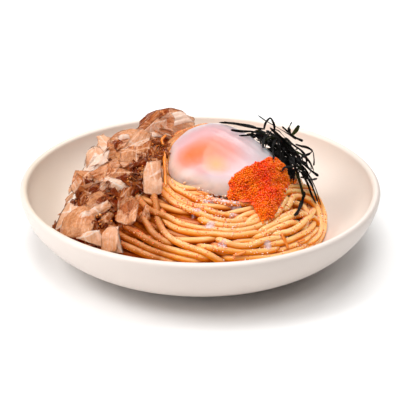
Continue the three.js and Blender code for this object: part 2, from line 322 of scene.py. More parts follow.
def noodle_material():
    p = Paint("cooked_noodle")
    depth, tint = p.attribute("depth"), p.attribute("tint")
    patch, fine = p.noise(60, 4, 0.6), p.noise(700, 3, 0.6)
    up = p.axes(p.normal())[2]
    right = p.ramp(p.axes(p.coords)[0], 0.025, 0.05)
    sauce = p.ramp(p.math("ADD", patch, p.times(tint, 0.45)), 0.45, 0.95)
    tone = p.mix(sauce, (0.92, 0.495, 0.185), (0.84, 0.33, 0.05))
    tone = p.mix(p.times(p.ramp(fine, 0.52, 0.72), 0.4), tone, (0.80, 0.27, 0.045))
    # painted light: the strands towards the right are painted lighter
    tone = p.mix(p.times(right, 0.6), tone, (1.0, 0.62, 0.24))
    # painted shade: the strands' undersides are painted darker and more orange
    tone = p.mix(p.ramp(up, 0.5, -0.05, 0, 0.95), tone, (0.76, 0.20, 0.002))
    # painted light: their tops are painted paler
    tone = p.mix(p.ramp(up, 0.55, 1.0, 0, 0.4), tone, (0.92, 0.53, 0.29))
    # painted shade deep under the mound's surface, between the strands, weaker towards the right as painted
    # light
    shaded = p.times(p.ramp(depth, 1.2, 3.4), p.ramp(right, 0, 1, 1.0, 0.45))
    tone = p.mix(shaded, tone, (0.42, 0.065, 0.0))
    # the sauce stain from the shavings together with their painted shadow, weaker on the strands' tops
    soak_and_shade = p.times(p.ramp(p.attribute("soy_and_shadow"), 0.0, 0.5), p.ramp(patch, 0.3, 0.7, 0.6, 1.0))
    soak_and_shade = p.times(soak_and_shade, p.ramp(tint, 0.9, 0.6, 0.35, 1.0))
    soak_and_shade = p.times(soak_and_shade, p.ramp(up, 0.4, 0.95, 1.0, 0.75))
    tone = p.mix(soak_and_shade, tone, (0.30, 0.05, 0.001))
    wet = p.times(p.ramp(up, 0.1, 0.7), p.ramp(soak_and_shade, 0.0, 0.8, 1.0, 0.25))
    return p.finish(Base_Color=tone, Roughness=p.ramp(fine, 0.3, 0.7, 0.26, 0.42), IOR=1.4,
                    Normal=p.bump(p.noise(420), 0.25, 0.0006), Specular_IOR_Level=p.times(wet, 0.4),
                    Subsurface_Weight=0.3, Subsurface_Radius=(1.0, 0.4, 0.1), Subsurface_Scale=0.0022,
                    Coat_Weight=p.times(p.ramp(depth, 0.5, 2.5, 0.35, 0.0), wet), Coat_Roughness=0.10)


def core_material():
    p = Paint("sauce_and_shade_core")
    # the sauce's colour darkened into painted shade, for the gaps between the strands
    tone = p.mix(p.ramp(p.noise(300), 0.35, 0.7), (0.22, 0.03, 0.0), (0.50, 0.11, 0.001))
    return p.finish(Base_Color=tone, Roughness=0.6, Specular_IOR_Level=0.05,
                    Normal=p.bump(p.noise(500), 0.4, 0.001))


class Skin:
    """Signed distance to a CAD solid on a grid: negative inside."""

    def __init__(self, co, faces, pitch=2.0, margin=8.0):
        tree = tree_of(co, faces)
        self.low, self.pitch = co.min(0) - margin, pitch
        self.size = np.ceil((co.max(0) + margin - self.low) / pitch).astype(int) + 1
        self.grid = np.zeros(self.size)
        for place in np.ndindex(*self.size):
            p = Vector(self.low + pitch * np.array(place))
            at, normal, _, d = tree.find_nearest(p)
            self.grid[place] = math.copysign(d, (p - at).dot(normal))
        self.slope = np.stack(np.gradient(self.grid, pitch), -1)

    def at(self, points):
        """Distance and outward direction at each point."""
        q = np.clip((points - self.low) / self.pitch, 0, self.size - 1.001)
        base = q.astype(int)
        f = q - base
        d, g = 0, 0
        for corner in range(8):
            o = np.array([corner >> 2 & 1, corner >> 1 & 1, corner & 1])
            w = np.prod(np.where(o, f, 1 - f), 1)
            i, j, k = (base + o).T
            d = d + w * self.grid[i, j, k]
            g = g + w[:, None] * self.slope[i, j, k]
        return d, unit(g)


def reach_table(tree):
    """How far the mound goes from its middle, by direction up and round."""
    rows = []
    for up in range(TABLE_LOW, 93, TABLE_STEP):
        row = []
        for bearing in range(0, 360, TABLE_STEP):
            a, e = math.radians(bearing), math.radians(up)
            d = Vector((math.cos(a) * math.cos(e), math.sin(a) * math.cos(e), math.sin(e)))
            hit = tree.ray_cast(Vector(NEST_MIDDLE), d)
            row.append(hit[3] if hit[0] is not None else 40.0)
        rows.append(row)
    return np.array(rows)


def on_mound(table, bearing, up, below):
    """Points in mm, given directions from the middle in degrees and depths under the mound's surface."""
    a, e = np.radians(bearing), np.radians(up)
    d = np.stack([np.cos(a) * np.cos(e), np.sin(a) * np.cos(e), np.sin(e)], -1)
    q, s = (np.asarray(up) - TABLE_LOW) / TABLE_STEP, np.mod(np.asarray(bearing), 360) / TABLE_STEP
    q = np.clip(q, 0, table.shape[0] - 1.001)
    i, j = q.astype(int), s.astype(int) % table.shape[1]
    reach = between(table, i, j, (j + 1) % table.shape[1], q - i, s - np.floor(s))
    return NEST_MIDDLE + d * (reach - below)[..., None]


def respaced(points, step=STEP):
    d = np.concatenate([[0], np.cumsum(np.linalg.norm(np.diff(points, axis=0), axis=1))])
    t = np.linspace(0, d[-1], max(int(d[-1] / step), 3) + 1)
    return np.stack([np.interp(t, d, points[:, k]) for k in range(3)], 1)


def close_pairs(points, near):
    """Every pair of points closer than near. They are sorted into cells that look at their neighbours."""
    cell = np.floor((points - points.min(0)) / near).astype(np.int64) + 1
    n1, n2 = cell[:, 1].max() + 3, cell[:, 2].max() + 3
    key = (cell[:, 0] * n1 + cell[:, 1]) * n2 + cell[:, 2]
    order = np.argsort(key, kind="stable")
    ordered = key[order]
    neighbours = [(0, 0, 0), (0, 0, 1), (0, 1, -1), (0, 1, 0), (0, 1, 1)]
    neighbours += [(1, y, z) for y in (-1, 0, 1) for z in (-1, 0, 1)]
    first, second = [], []
    for dx, dy, dz in neighbours:
        wanted = key + (dx * n1 + dy) * n2 + dz
        low, high = np.searchsorted(ordered, wanted, "left"), np.searchsorted(ordered, wanted, "right")
        count = high - low
        i = np.repeat(np.arange(len(points)), count)
        within = np.arange(count.sum()) - np.repeat(np.cumsum(count) - count, count)
        j = order[np.repeat(low, count) + within]
        if (dx, dy, dz) == (0, 0, 0):
            keep = i < j
            i, j = i[keep], j[keep]
        first.append(i)
        second.append(j)
    i, j = np.concatenate(first), np.concatenate(second)
    hit = np.linalg.norm(points[i] - points[j], axis=1) < near
    return i[hit], j[hit]


def pushed_apart(points, i, j, clear, share):
    """The moves that take pairs nearer than clear apart by a share of what they lack, and how many pushes
    each point gets."""
    d = points[i] - points[j]
    far = np.linalg.norm(d, axis=1)
    hit = far < clear
    i, j, d, far = i[hit], j[hit], d[hit], far[hit]
    push = d / np.maximum(far, 1e-6)[:, None] * ((clear - far) * share)[:, None]
    move, total = np.zeros_like(points), len(points)
    for axis in range(3):
        move[:, axis] += np.bincount(i, push[:, axis], total) - np.bincount(j, push[:, axis], total)
    return move, np.bincount(i, minlength=total) + np.bincount(j, minlength=total)


def settle(strands, skin, depths, rounds, thick):
    """Pushes the strands apart until none lies in another, and keeps each one's curves, length and place."""
    p = np.concatenate(strands)
    owner = np.repeat(np.arange(len(strands)), [len(s) for s in strands])
    slack = np.repeat(np.array(depths, float), [len(s) for s in strands])
    slack = np.maximum(slack, 0.6 - skin.at(p)[0])
    index = np.arange(len(p))
    a = index[:-1][owner[1:] == owner[:-1]]
    inner = index[1:-1][(owner[1:-1] == owner[:-2]) & (owner[1:-1] == owner[2:])]
    own_curve = (p[inner - 1] + p[inner + 1]) / 2 - p[inner]
    rest = np.linalg.norm(p[a + 1] - p[a], axis=1)
    for turn in range(rounds):
        if turn % 4 == 0:
            i, j = close_pairs(p, thick * 1.35)
            apart = (owner[i] != owner[j]) | (np.abs(i - j) > 4)
            pairs = i[apart], j[apart]
        move, count = pushed_apart(p, *pairs, thick, 0.5)
        p += move / np.maximum(count * 0.6, 1)[:, None]
        for _ in range(2):
            bend = (p[inner - 1] + p[inner + 1]) / 2 - p[inner] - own_curve
            p[inner] += bend * 0.5
        d = p[a + 1] - p[a]
        far = np.linalg.norm(d, axis=1)
        fix = d * ((far - rest) / np.maximum(far, 1e-6) * 0.45)[:, None]
        move = np.zeros_like(p)
        move[a] += fix
        move[a + 1] -= fix
        p += move * 0.8
        out, normal = skin.at(p)
        p -= normal * np.maximum(out + thick / 2 - 0.5, 0)[:, None] * 0.7
        p += normal * np.maximum(-(out + slack), 0)[:, None] * 0.35
    return np.split(p, np.cumsum([len(s) for s in strands])[:-1])


def tubes(paths, radii, sides):
    """Closed round tubes with domed ends. Also gives which path each vertex is on."""
    ring = np.linspace(0, FULL_TURN, sides, endpoint=False)
    co, faces, base = [], [], 0
    for path, radius in zip(paths, radii):
        along = unit(np.gradient(path, axis=0))
        side = unit(np.cross(along[0], (0.3, 0.2, 1.0)))
        sides_at = []
        for t in along:
            side = unit(side - t * side.dot(t))
            sides_at.append(side)
        u = np.array(sides_at)
        w = np.cross(along, u)
        circle = np.cos(ring)[None, :, None] * u[:, None] + np.sin(ring)[None, :, None] * w[:, None]
        body = path[:, None] + radius * circle
        first, last = path[0] - along[0] * radius * 0.45, path[-1] + along[-1] * radius * 0.45
        tips = [path[0] - along[0] * radius * 0.7], [path[-1] + along[-1] * radius * 0.7]
        rings = [first + radius * circle[0] * 0.72, *body, last + radius * circle[-1] * 0.72]
        co.append(np.concatenate([*rings, *tips]))
        faces += ring_faces(len(rings), sides, base)
        base += len(co[-1])
    return np.concatenate(co), faces, np.repeat(np.arange(len(co)), [len(c) for c in co])


def wander(t, size, waves=3):
    """A smooth random curve of about that size."""
    total = np.zeros_like(t)
    for k in range(1, waves + 1):
        total += rng.normal(0, size / k) * np.sin(k * t * math.pi + rng.uniform(0, FULL_TURN))
    return total


def flowing(points, count):
    """A smooth curve through a few points, evenly stepped. Bearings may run past a full turn."""
    p = np.array(points, float)
    p[:, 0] = np.unwrap(np.radians(p[:, 0])) * 180 / math.pi
    knots = np.concatenate([[0], np.cumsum(np.linalg.norm(np.diff(p, axis=0), axis=1))])
    slope = np.gradient(p, knots, axis=0)
    t = np.linspace(0, knots[-1], count)
    k = np.clip(np.searchsorted(knots, t, "right") - 1, 0, len(p) - 2)
    h = (knots[k + 1] - knots[k])[:, None]
    s = ((t - knots[k])[:, None]) / h
    return ((2 * s ** 3 - 3 * s ** 2 + 1) * p[k] + (s ** 3 - 2 * s ** 2 + s) * h * slope[k]
            + (3 * s ** 2 - 2 * s ** 3) * p[k + 1] + (s ** 3 - s ** 2) * h * slope[k + 1])


def dive(t):
    """Both ends of a strand run down out of sight."""
    from_end = np.minimum(t, 1 - t)
    return 6.5 * np.clip(1 - from_end / 0.09, 0, 1) ** 1.5


def laid(table, points, below, unrest=0.45):
    """A strand along a route over the mound."""
    way = flowing(points, 160)
    t = np.linspace(0, 1, len(way))
    bearing = way[:, 0] + wander(t, unrest)
    up = way[:, 1] + wander(t, unrest)
    return respaced(on_mound(table, bearing, up, below + wander(t, 0.3) + dive(t)))


def swirl(table, start, sweep, level, tilt, high, below, unrest=1.5):
    """A strand round the mound. Level is its height at the low side, in degrees up from the mound's middle,
    and it rises by twice the tilt towards the high bearing."""
    t = np.linspace(0, 1, 160)
    bearing = start + sweep * t
    up = level + tilt * (1 + np.cos(np.radians(bearing - high))) + wander(t, unrest)
    bearing = bearing + wander(t, 1.0)
    return respaced(on_mound(table, bearing, np.clip(up, -8, 84), below + wander(t, 0.5) + dive(t)))


# Strands that show in front: a depth under the mound's surface and a route of (bearing, degrees up) round
# the mound's middle. A route runs from under the shavings, down across the front, to the right.
FRONT = [
    (1.8, [(180, 47), (194, 49.5), (207.5, 50.5), (219.5, 49.5), (230, 47), (240.5, 44.5), (249, 42),
          (257.5, 39.5), (265, 37), (271.5, 35), (277, 32.5), (282, 30.5), (290, 28.5), (299, 27.5),
          (309, 27)]),
    (1.9, [(166, 59.5), (194, 59), (221, 55), (236, 50.5), (248, 46.5), (256, 45), (264, 43.5), (271.5, 41),
          (278, 38.5), (284, 35.5), (290, 33), (298, 30.5), (307, 29.5)]),
    (1.9, [(146, 58), (164, 62), (180, 63), (212, 60.5), (234, 57), (250, 54), (262, 51), (272, 47),
          (279.5, 43.5), (287, 39)]),
    (1.6, [(269, 48), (277, 46), (284.5, 44), (291.5, 41.5), (299.5, 39), (308, 38), (318, 37)]),
    (2.2, [(267, 32), (271, 31), (275.5, 29), (281.5, 27.5), (289, 26), (296.5, 25), (304, 24), (312, 23.5)]),
    (1.7, [(190, 41), (205, 39), (220, 37), (225.5, 36), (230.5, 35), (237, 34), (242, 33), (248, 32),
          (254, 30), (259.5, 28), (265, 27), (271, 25.5), (277, 24.5), (286, 23.5), (294.5, 22.5),
          (303.5, 22), (311, 22), (318.5, 23), (326, 24), (335.5, 26.5), (343.5, 28), (353, 29)]),
    (2.5, [(236, 36), (242, 31), (250, 27), (254.5, 25), (260.5, 23.5), (265.5, 22.5), (271, 21.5), (278, 21),
          (285, 20.5), (293.5, 20), (302, 19.5), (309, 18.5)]),
    (1.8, [(185, 52), (200, 50), (217.5, 46.5), (225.5, 42.5), (234.5, 37.5), (241.5, 32), (246, 27),
          (251, 23), (255.5, 20.5), (260.5, 19), (266, 17.5), (271, 16.5), (274, 15.5), (277, 14),
          (280, 11.5), (284, 9)]),
    (2.4, [(268, 18), (273, 17), (277, 16.5), (283, 15.5), (291.5, 14.5), (299, 14), (307, 13.5), (316, 13)]),
    (2.8, [(228, 31), (234.5, 27.5), (238, 25.5), (242.5, 23), (247, 21), (251.5, 19.5), (257, 18)]),
    (2.0, [(206, 24), (220, 21), (233, 19.5), (238, 19), (242.5, 18), (247.5, 17), (252.5, 16), (258, 15.5),
          (264, 14.5), (269, 14), (274, 13), (279, 11)]),
    (2.2, [(206, 19), (220, 17.5), (232, 16), (239, 15), (245, 13.5), (251.5, 13), (259, 12.5), (266, 12),
          (275, 10.5)]),
    (2.4, [(210, 16), (224, 14), (234.5, 13), (241, 12), (246.5, 11), (254, 10), (263, 9)]),
    (2.6, [(278, 20.5), (284, 19), (289.5, 17), (296, 16), (303.5, 16), (310, 15.5), (318, 14.5)]),
    (2.4, [(279, 12), (286.5, 11.5), (294.5, 11), (302, 11), (310, 10.5), (318.5, 9.5), (329, 8)]),
    (3.0, [(275, 19.5), (280.5, 19), (288.5, 19), (296.5, 18.5), (302.5, 17.5), (308, 15)]),
]
# Tight turns at the right-hand edge, where the twirl folds back on itself.
RIGHT = [
    (1.8, [(330, 29), (338, 28), (346.5, 28), (359, 22.5), (363, 18.5), (366, 13), (366, 8), (363, 4),
          (356.5, 1), (344, 2), (326, 6)]),
    (1.9, [(323, 27), (331.5, 27), (340.5, 27), (352.5, 23), (354.5, 19.5), (355, 15.5), (352.5, 12),
          (346.5, 8), (337, 7), (324, 7.5)]),
    (2.1, [(316, 23), (324, 24.5), (332.5, 25.5), (342, 23.5), (347.5, 20.5), (348.5, 17), (345, 14),
          (339.5, 10.5), (330.5, 9.5), (319, 9)]),
    (2.3, [(308, 21), (316, 22), (323, 23), (330.5, 22.5), (338.5, 20.5), (341.5, 17.5), (339.5, 15),
          (333.5, 13), (324, 11.5)]),
    (2.0, [(302, 19.5), (309, 20), (315.5, 20.5), (322, 20.5), (331, 20), (336.5, 17), (342.5, 12.5),
          (348, 6)]),
    (2.3, [(299, 18), (305.5, 18.5), (311.5, 18.5), (318, 18.5), (324.5, 17.5), (329, 15.5), (332.5, 12),
          (328, 10), (319, 9.5)]),
    (2.2, [(307, 19), (314.5, 18), (320, 17), (327, 16), (337.5, 14.5), (351, 13), (366, 11)]),
    (2.4, [(299, 15.5), (306.5, 15), (312.5, 14.5), (318.5, 14), (326.5, 13), (336, 12), (352, 10)]),
    (2.4, [(306, 12), (314, 11.5), (320, 10.5), (327.5, 10), (337.5, 8.5), (354, 5)]),
    (2.6, [(300, 12), (307.5, 11.5), (314, 10.5), (322, 9), (332, 7)]),
    (2.8, [(317, 19), (320.5, 16), (324.5, 13), (325, 9.5), (324, 5)]),
    (2.6, [(319, 23), (321, 20), (322.5, 16.5), (323.5, 13), (322, 8)]),
    (1.8, [(340, 40), (350, 36), (358, 30), (366, 24), (374, 22), (386, 24)]),
    (2.0, [(344, 33), (353, 30), (362, 26), (372, 17), (380, 12), (392, 8)]),
]


def nest_strands(table):
    """Every strand before it settles, outermost first, how deep each may sink, and how many lie outermost."""
    strands, sinks = [], []

    def add(sink, *course):
        strands.append(swirl(table, *course))
        sinks.append(sink)

    for routes, unrest in ((FRONT, 0.45), (RIGHT, 0.9)):
        for below, route in routes:
            strands.append(laid(table, route, below, unrest))
            sinks.append(below + 1.1)
    # round the back and the left, in loose groups
    level = 2.0
    while level < 50:
        for _ in range(int(rng.integers(2, 5))):
            start = rng.uniform(12, 40)
            add(3.0, start, rng.uniform(120, 165), level + rng.normal(0, 0.7), 6.5 + rng.normal(0, 1.5),
                120 + rng.normal(0, 12), 1.8)
            level += 2.9
        level += rng.uniform(0.4, 1.5)
    for level in np.arange(4, 44, 5.5):
        add(3.2, rng.uniform(0, 30), rng.uniform(60, 120), level, rng.normal(3, 4), rng.uniform(0, 200),
            1.8, 3.0)
        add(3.2, rng.uniform(145, 170), rng.uniform(40, 55), level * 0.6 + 2, rng.normal(7, 3), 120, 2.0, 2.0)
    # low down on the left
    for level in np.arange(0, 15, 2.6):
        add(3.0, rng.uniform(150, 170), rng.uniform(55, 72), level, rng.uniform(0, 2), 150, 1.8, 0.8)
    # over the top, behind the egg
    for level in np.arange(50, 80, 3.6):
        add(3.0, rng.uniform(60, 100), rng.uniform(110, 145), level, rng.uniform(0, 3), rng.uniform(60, 160),
            1.7, 2.0)
    outer = len(strands)
    # what shows between them, and a last layer under that
    for level in np.arange(0, 62, 2.9):
        start = rng.uniform(0, 360)
        for opposite in (0, 180):
            add(5.8, start + opposite, rng.uniform(130, 190), level + rng.normal(0, 1), rng.uniform(2, 9),
                rng.uniform(80, 200), 4.8, 2.5)
    for level in np.arange(2, 70, 4.2):
        add(8.8, rng.uniform(0, 360), rng.uniform(200, 330), level, rng.uniform(0, 8), rng.uniform(0, 360),
            7.6, 3.0)
    return strands, sinks, outer


def soy_and_shadow_from_shavings(co):
    """How far sauce from the shavings stains the strands, and how far their painted shadow reaches: 1 by
    them, none a few centimetres away.
    """
    _, high = node_box("bonito_heap")
    beside = np.clip((high[0] + 6 - co[:, 0]) / 20, 0, 1)
    behind = np.clip((high[0] + 22 - co[:, 0]) / 14, 0, 1) * np.clip((co[:, 1] - high[1] + 30) / 10, 0, 1)
    return np.maximum(beside, behind)


def make_nest_core(table):
    """The inside, a rumpled skin well under the strands, in the sauce's colour darkened into painted shade.
    """
    bearings = np.arange(0, 360, 4.0)
    rings = []
    for up in np.arange(-18, 90, 4.0):
        below = CORE_DEPTH + 0.8 * np.sin(np.radians(bearings) * 9 + up)
        rings.append(on_mound(table, bearings, np.full(len(bearings), up), below))
    crown = on_mound(table, np.array([0.0]), np.array([88.0]), np.array([CORE_DEPTH]))
    co = np.concatenate([*rings, [NEST_MIDDLE - (0, 0, 2)], crown])
    make_piece("nest_core", co, ring_faces(len(rings), len(bearings)), core_material(), "spaghetti")


def make_nest():
    """The strands and the core. Gives the outer strands' mesh for what lies on them."""
    co, faces = cad_mesh("pasta_nest")
    table = reach_table(tree_of(co, faces))
    skin = Skin(co, faces)
    strands, sinks, outer = nest_strands(table)
    strands = settle(strands, skin, sinks, SETTLING_ROUNDS, 2 * NOODLE * 0.94)
    strands = [smoothed(s, 2) for s in strands]
    radii = NOODLE * rng.normal(1.09, 0.05, len(strands))
    tints = rng.uniform(0, 1, len(strands))
    material = noodle_material()
    meshes = []
    for name, part, nodes in (("noodles_outer", slice(outer), ["pasta_nest"]),
                              ("noodles_inner", slice(outer, None), [])):
        co, faces, owner = tubes(strands[part], radii[part], STRAND_SIDES)
        depth, _ = skin.at(co)
        make_piece(name, co, faces, material, "spaghetti", nodes,
                   {"depth": -depth, "tint": tints[part][owner], "soy_and_shadow": soy_and_shadow_from_shavings(co)})
        meshes.append((co, faces))
    make_nest_core(table)
    return meshes[0]


# ---------------------------------------------------------------- grains
def icosphere(rounds):
    mesh = bmesh.new()
    bmesh.ops.create_icosphere(mesh, subdivisions=rounds, radius=1)
    co = np.array([v.co[:] for v in mesh.verts])
    faces = np.array([[v.index for v in f.verts] for f in mesh.faces])
    mesh.free()
    return co, faces


def grains(centres, sizes, ball, lumpy=0.0, stretch=0.0):
    """One closed ball at each centre, turned and stretched a little at random."""
    shape, faces = ball
    n = len(centres)
    w, x, y, z = unit(rng.normal(size=(n, 4))).T
    spin = np.stack([1 - 2 * (y * y + z * z), 2 * (x * y - z * w), 2 * (x * z + y * w),
                     2 * (x * y + z * w), 1 - 2 * (x * x + z * z), 2 * (y * z - x * w),
                     2 * (x * z - y * w), 2 * (y * z + x * w), 1 - 2 * (x * x + y * y)], 1).reshape(n, 3, 3)
    scale = np.asarray(sizes)[:, None] * (1 + rng.normal(0, 1, (n, 3)) * stretch).clip(0.4, 2.2)
    bumpy = 1 + lumpy * rng.normal(0, 1, (n, len(shape), 1)).clip(-1.5, 1.5)
    co = np.einsum("nij,nkj->nki", spin, shape[None] * bumpy * scale[:, None]) + np.asarray(centres)[:, None]
    every = faces[None] + (np.arange(n) * len(shape))[:, None, None]
    return co.reshape(-1, 3), every.reshape(-1, 3), np.repeat(np.arange(n), len(shape))


def on_surface(co, faces, count, least_up):
    """Random points over a mesh, where it faces up at least that much, with their outward directions."""
    a, b, c = (co[faces[:, k]] for k in range(3))
    cross = np.cross(b - a, c - a)
    normal = unit(cross)
    area = np.where(normal[:, 2] > least_up, np.linalg.norm(cross, axis=1), 0)
    pick = rng.choice(len(faces), count, p=area / area.sum())
    s, t = rng.random(count), rng.random(count)
    flip = s + t > 1
    s, t = np.where(flip, 1 - s, s), np.where(flip, 1 - t, t)
    return a[pick] + (b - a)[pick] * s[:, None] + (c - a)[pick] * t[:, None], normal[pick]


# ---------------------------------------------------------------- the egg
EGG_TURNS = 144
# Colours of the yolk through the white: place from the yolk's middle (x, y), reach (x, y), where the colour
# starts to fade and where it ends as shares of that reach, strength, colour.
YOLK_GLOW = [
    ((2, -2), (30, 27), (0.45, 1.15), 0.85, (0.67, 0.335, 0.34)),
    ((1, -9), (21, 13), (0.2, 1.1), 1.0, (0.79, 0.20, 0.095)),
    ((-8, -9), (8, 8), (0.1, 1.3), 0.85, (0.82, 0.16, 0.04)),
    ((7, -17), (7, 5), (0.1, 1.3), 0.75, (0.80, 0.34, 0.08)),
]


def egg_material(yolk):
    p = Paint("soft_egg_white")
    cloud = p.noise(45, 4, 0.6)
    tone = p.mix(p.ramp(cloud, 0.35, 0.68), (0.62, 0.56, 0.60), (0.67, 0.63, 0.64))
    for shift, reach, (full, none), strength, colour in YOLK_GLOW:
        centre = (yolk + (*shift, 0)) * MM
        within = p.node("Mapping", Location=list(centre), Scale=[r * MM for r in (*reach, 60)])
        within.vector_type = "TEXTURE"
        p.put(within.inputs["Vector"], p.coords)
        away = p.node("VectorMath", within.outputs[0])
        away.operation = "LENGTH"
        away = p.math("MULTIPLY_ADD", p.noise(60), 0.5, away.outputs["Value"])
        share = p.ramp(away, full + 0.25, none + 0.25, 1, 0)
        tone = p.mix(p.times(share, strength), tone, colour)
    veil = p.attribute("veil")
    tone = p.mix(p.ramp(veil, 0.05, 0.5, 0, 0.75), tone, (0.92, 0.66, 0.54))
    clear = p.times(veil, p.ramp(cloud, 0.35, 0.65, 0.3, 0.8))
    return p.finish(clear, Base_Color=tone, Roughness=0.3, IOR=1.36, Coat_Weight=0.2, Coat_Roughness=0.15,
                    Subsurface_Weight=0.5, Subsurface_Radius=(1.0, 0.6, 0.5), Subsurface_Scale=0.003)


class SmoothTop:
    """The top of some solids as a height field, rounded over a few millimetres."""

    def __init__(self, tree, low, high, spread=2.6, pitch=1.0, margin=6):
        self.low, self.pitch = low[:2] - margin, pitch
        self.size = np.ceil((high[:2] + margin - self.low) / pitch).astype(int) + 1
        raw, self.inside = np.zeros(self.size), np.zeros(self.size)
        for place in np.ndindex(*self.size):
            z = drop(tree, *(self.low + pitch * np.array(place)))
            if z is not None:
                raw[place], self.inside[place] = z, 1
        width = int(spread * 3 / pitch)
        kernel = np.exp(-0.5 * (np.arange(-width, width + 1) * pitch / spread) ** 2)

        def blurred(field):
            for axis in (0, 1):
                field = np.apply_along_axis(lambda line: np.convolve(line, kernel, "same"), axis, field)
            return field

        self.height = blurred(raw) / np.maximum(blurred(self.inside), 1e-9)

    def at(self, spots, field=None):
        field = self.height if field is None else field
        q = np.clip((spots - self.low) / self.pitch, 0, self.size - 1.001)
        i = q.astype(int)
        f = q - i
        return between(field, i[..., 0], i[..., 1], i[..., 1] + 1, f[..., 0], f[..., 1])


def egg_outline(top, middle, angles):
    """How far the white goes from its middle, at each angle, and the height of the strands under its edge."""
    out = np.arange(15, 48, 0.25)[:, None]
    rays = np.stack([middle[0] + out * np.cos(angles), middle[1] + out * np.sin(angles)], -1)
    edge = out[(top.at(rays, top.inside) > 0.5).sum(0) - 1, 0]
    edge = softened(edge, 8) * (1 + 0.012 * np.sin(7 * angles + 1) + 0.008 * np.sin(13 * angles + 2.2))
    nest = solids_tree("pasta_nest")
    way = zip(middle[0] + edge * np.cos(angles), middle[1] + edge * np.sin(angles))
    bed = [drop(nest, x, y, 45.0) for x, y in way]
    return edge, softened(np.array(bed), 6)


def make_yolk(low, high):
    """A flattened ball within the CAD yolk's box, a little lower than its middle."""
    ball, faces = icosphere(4)
    half = (high - low) / 2 * np.array([0.95, 0.95, 0.72])
    paint = plain("soft_yolk", (0.95, 0.36, 0.06), 0.25, Coat_Weight=0.4)
    co = (low + high) / 2 + (ball * half + (0, 0, -1.5))
    make_piece("egg_yolk_soft", co, faces, paint, "egg_yolk", ["egg_yolk"])


def make_egg():
    """The white and the yolk. Gives the white's middle, angles, outline and the height under its edge."""
    low, high = node_box("egg_white")
    top = SmoothTop(solids_tree("egg_white", "egg_yolk"), low, high)
    middle = (low + high)[:2] / 2
    angles = np.linspace(0, FULL_TURN, EGG_TURNS, endpoint=False)
    edge, bed = egg_outline(top, middle, angles)

    def ring(share):
        out = share * edge
        return np.stack([middle[0] + out * np.cos(angles), middle[1] + out * np.sin(angles)], 1)

    front = np.clip(-np.sin(angles + 0.35) * 1.5, 0, 1)
    lip = 0.92 - 0.24 * front
    rows, veils = [], []
    closing = np.sin(np.linspace(0, math.pi / 2, 26)[1:])
    for s in (*np.linspace(0, 0.66, 30)[1:], *(0.66 + 0.34 * closing)):
        spots = ring(s)
        x, y = spots.T
        z = top.at(ring(np.minimum(s, lip)))
        z = z + 0.30 * np.sin(x * 0.19 + 1) * np.sin(y * 0.22)
        z = z + 0.12 * np.sin(x * 0.5 + y * 0.3) * np.sin(y * 0.55)
        over = np.clip((s - lip) / (1 - lip), 0, 1)
        steep = 1 - np.sqrt(np.maximum(0.0, 1 - over ** 2))
        z = z + (bed - 0.6 - z) * (steep * (1 - 0.75 * front) + over ** 1.6 * 0.75 * front)
        rows.append(np.column_stack([spots, z]))
        veils.append(np.clip((s - 0.80) / 0.2, 0, 1) ** 1.3 * (0.15 + 0.75 * front))
    # the underside turns back in
    for s, fall in ((0.97, 0.6), (0.85, 1.2), (0.6, 1.8)):
        rows.append(np.column_stack([ring(s), rows[-1][:, 2] - fall]))
        veils.append(np.ones(EGG_TURNS))
    co = np.concatenate([*rows, [[*middle, float(top.at(middle))]], [[*middle, rows[-1][:, 2].min()]]])
    faces = flipped(ring_faces(len(rows), EGG_TURNS))
    yolk_low, yolk_high = node_box("egg_yolk")
    paint = egg_material((yolk_low + yolk_high) / 2)
    make_piece("egg_white_soft", co, faces, paint, "egg_white", ["egg_white"],
               {"veil": np.concatenate([*veils, [0, 0]])})
    make_yolk(yolk_low, yolk_high)
    return middle, angles, edge, bed


# ---------------------------------------------------------------- the roe
GRAIN = 0.66                  # radius of a roe grain, in mm
GRAIN_COUNT = 2300


def roe_material():
    p = Paint("orange_roe")
    mottled = p.ramp(p.math("ADD", p.noise(80), p.times(p.attribute("tint"), 0.4)), 0.5, 1.05)
    tone = p.mix(mottled, (0.84, 0.045, 0.0), (1.0, 0.24, 0.004))
    return p.finish(Base_Color=tone, Roughness=0.2, IOR=1.33, Subsurface_Weight=0.3,
                    Subsurface_Radius=(1.0, 0.3, 0.05), Subsurface_Scale=0.0015,
                    Coat_Weight=0.2, Coat_Roughness=0.05)


def roe_under_material():
    p = Paint("roe_under")
    dimples = p.node("TexVoronoi", Scale=1400, Vector=p.coords).outputs["Distance"]
    tone = p.mix(p.noise(300), (0.75, 0.05, 0.001), (0.95, 0.13, 0.003))
    return p.finish(Base_Color=tone, Roughness=0.3, Normal=p.bump(dimples, 0.5, 0.0005))


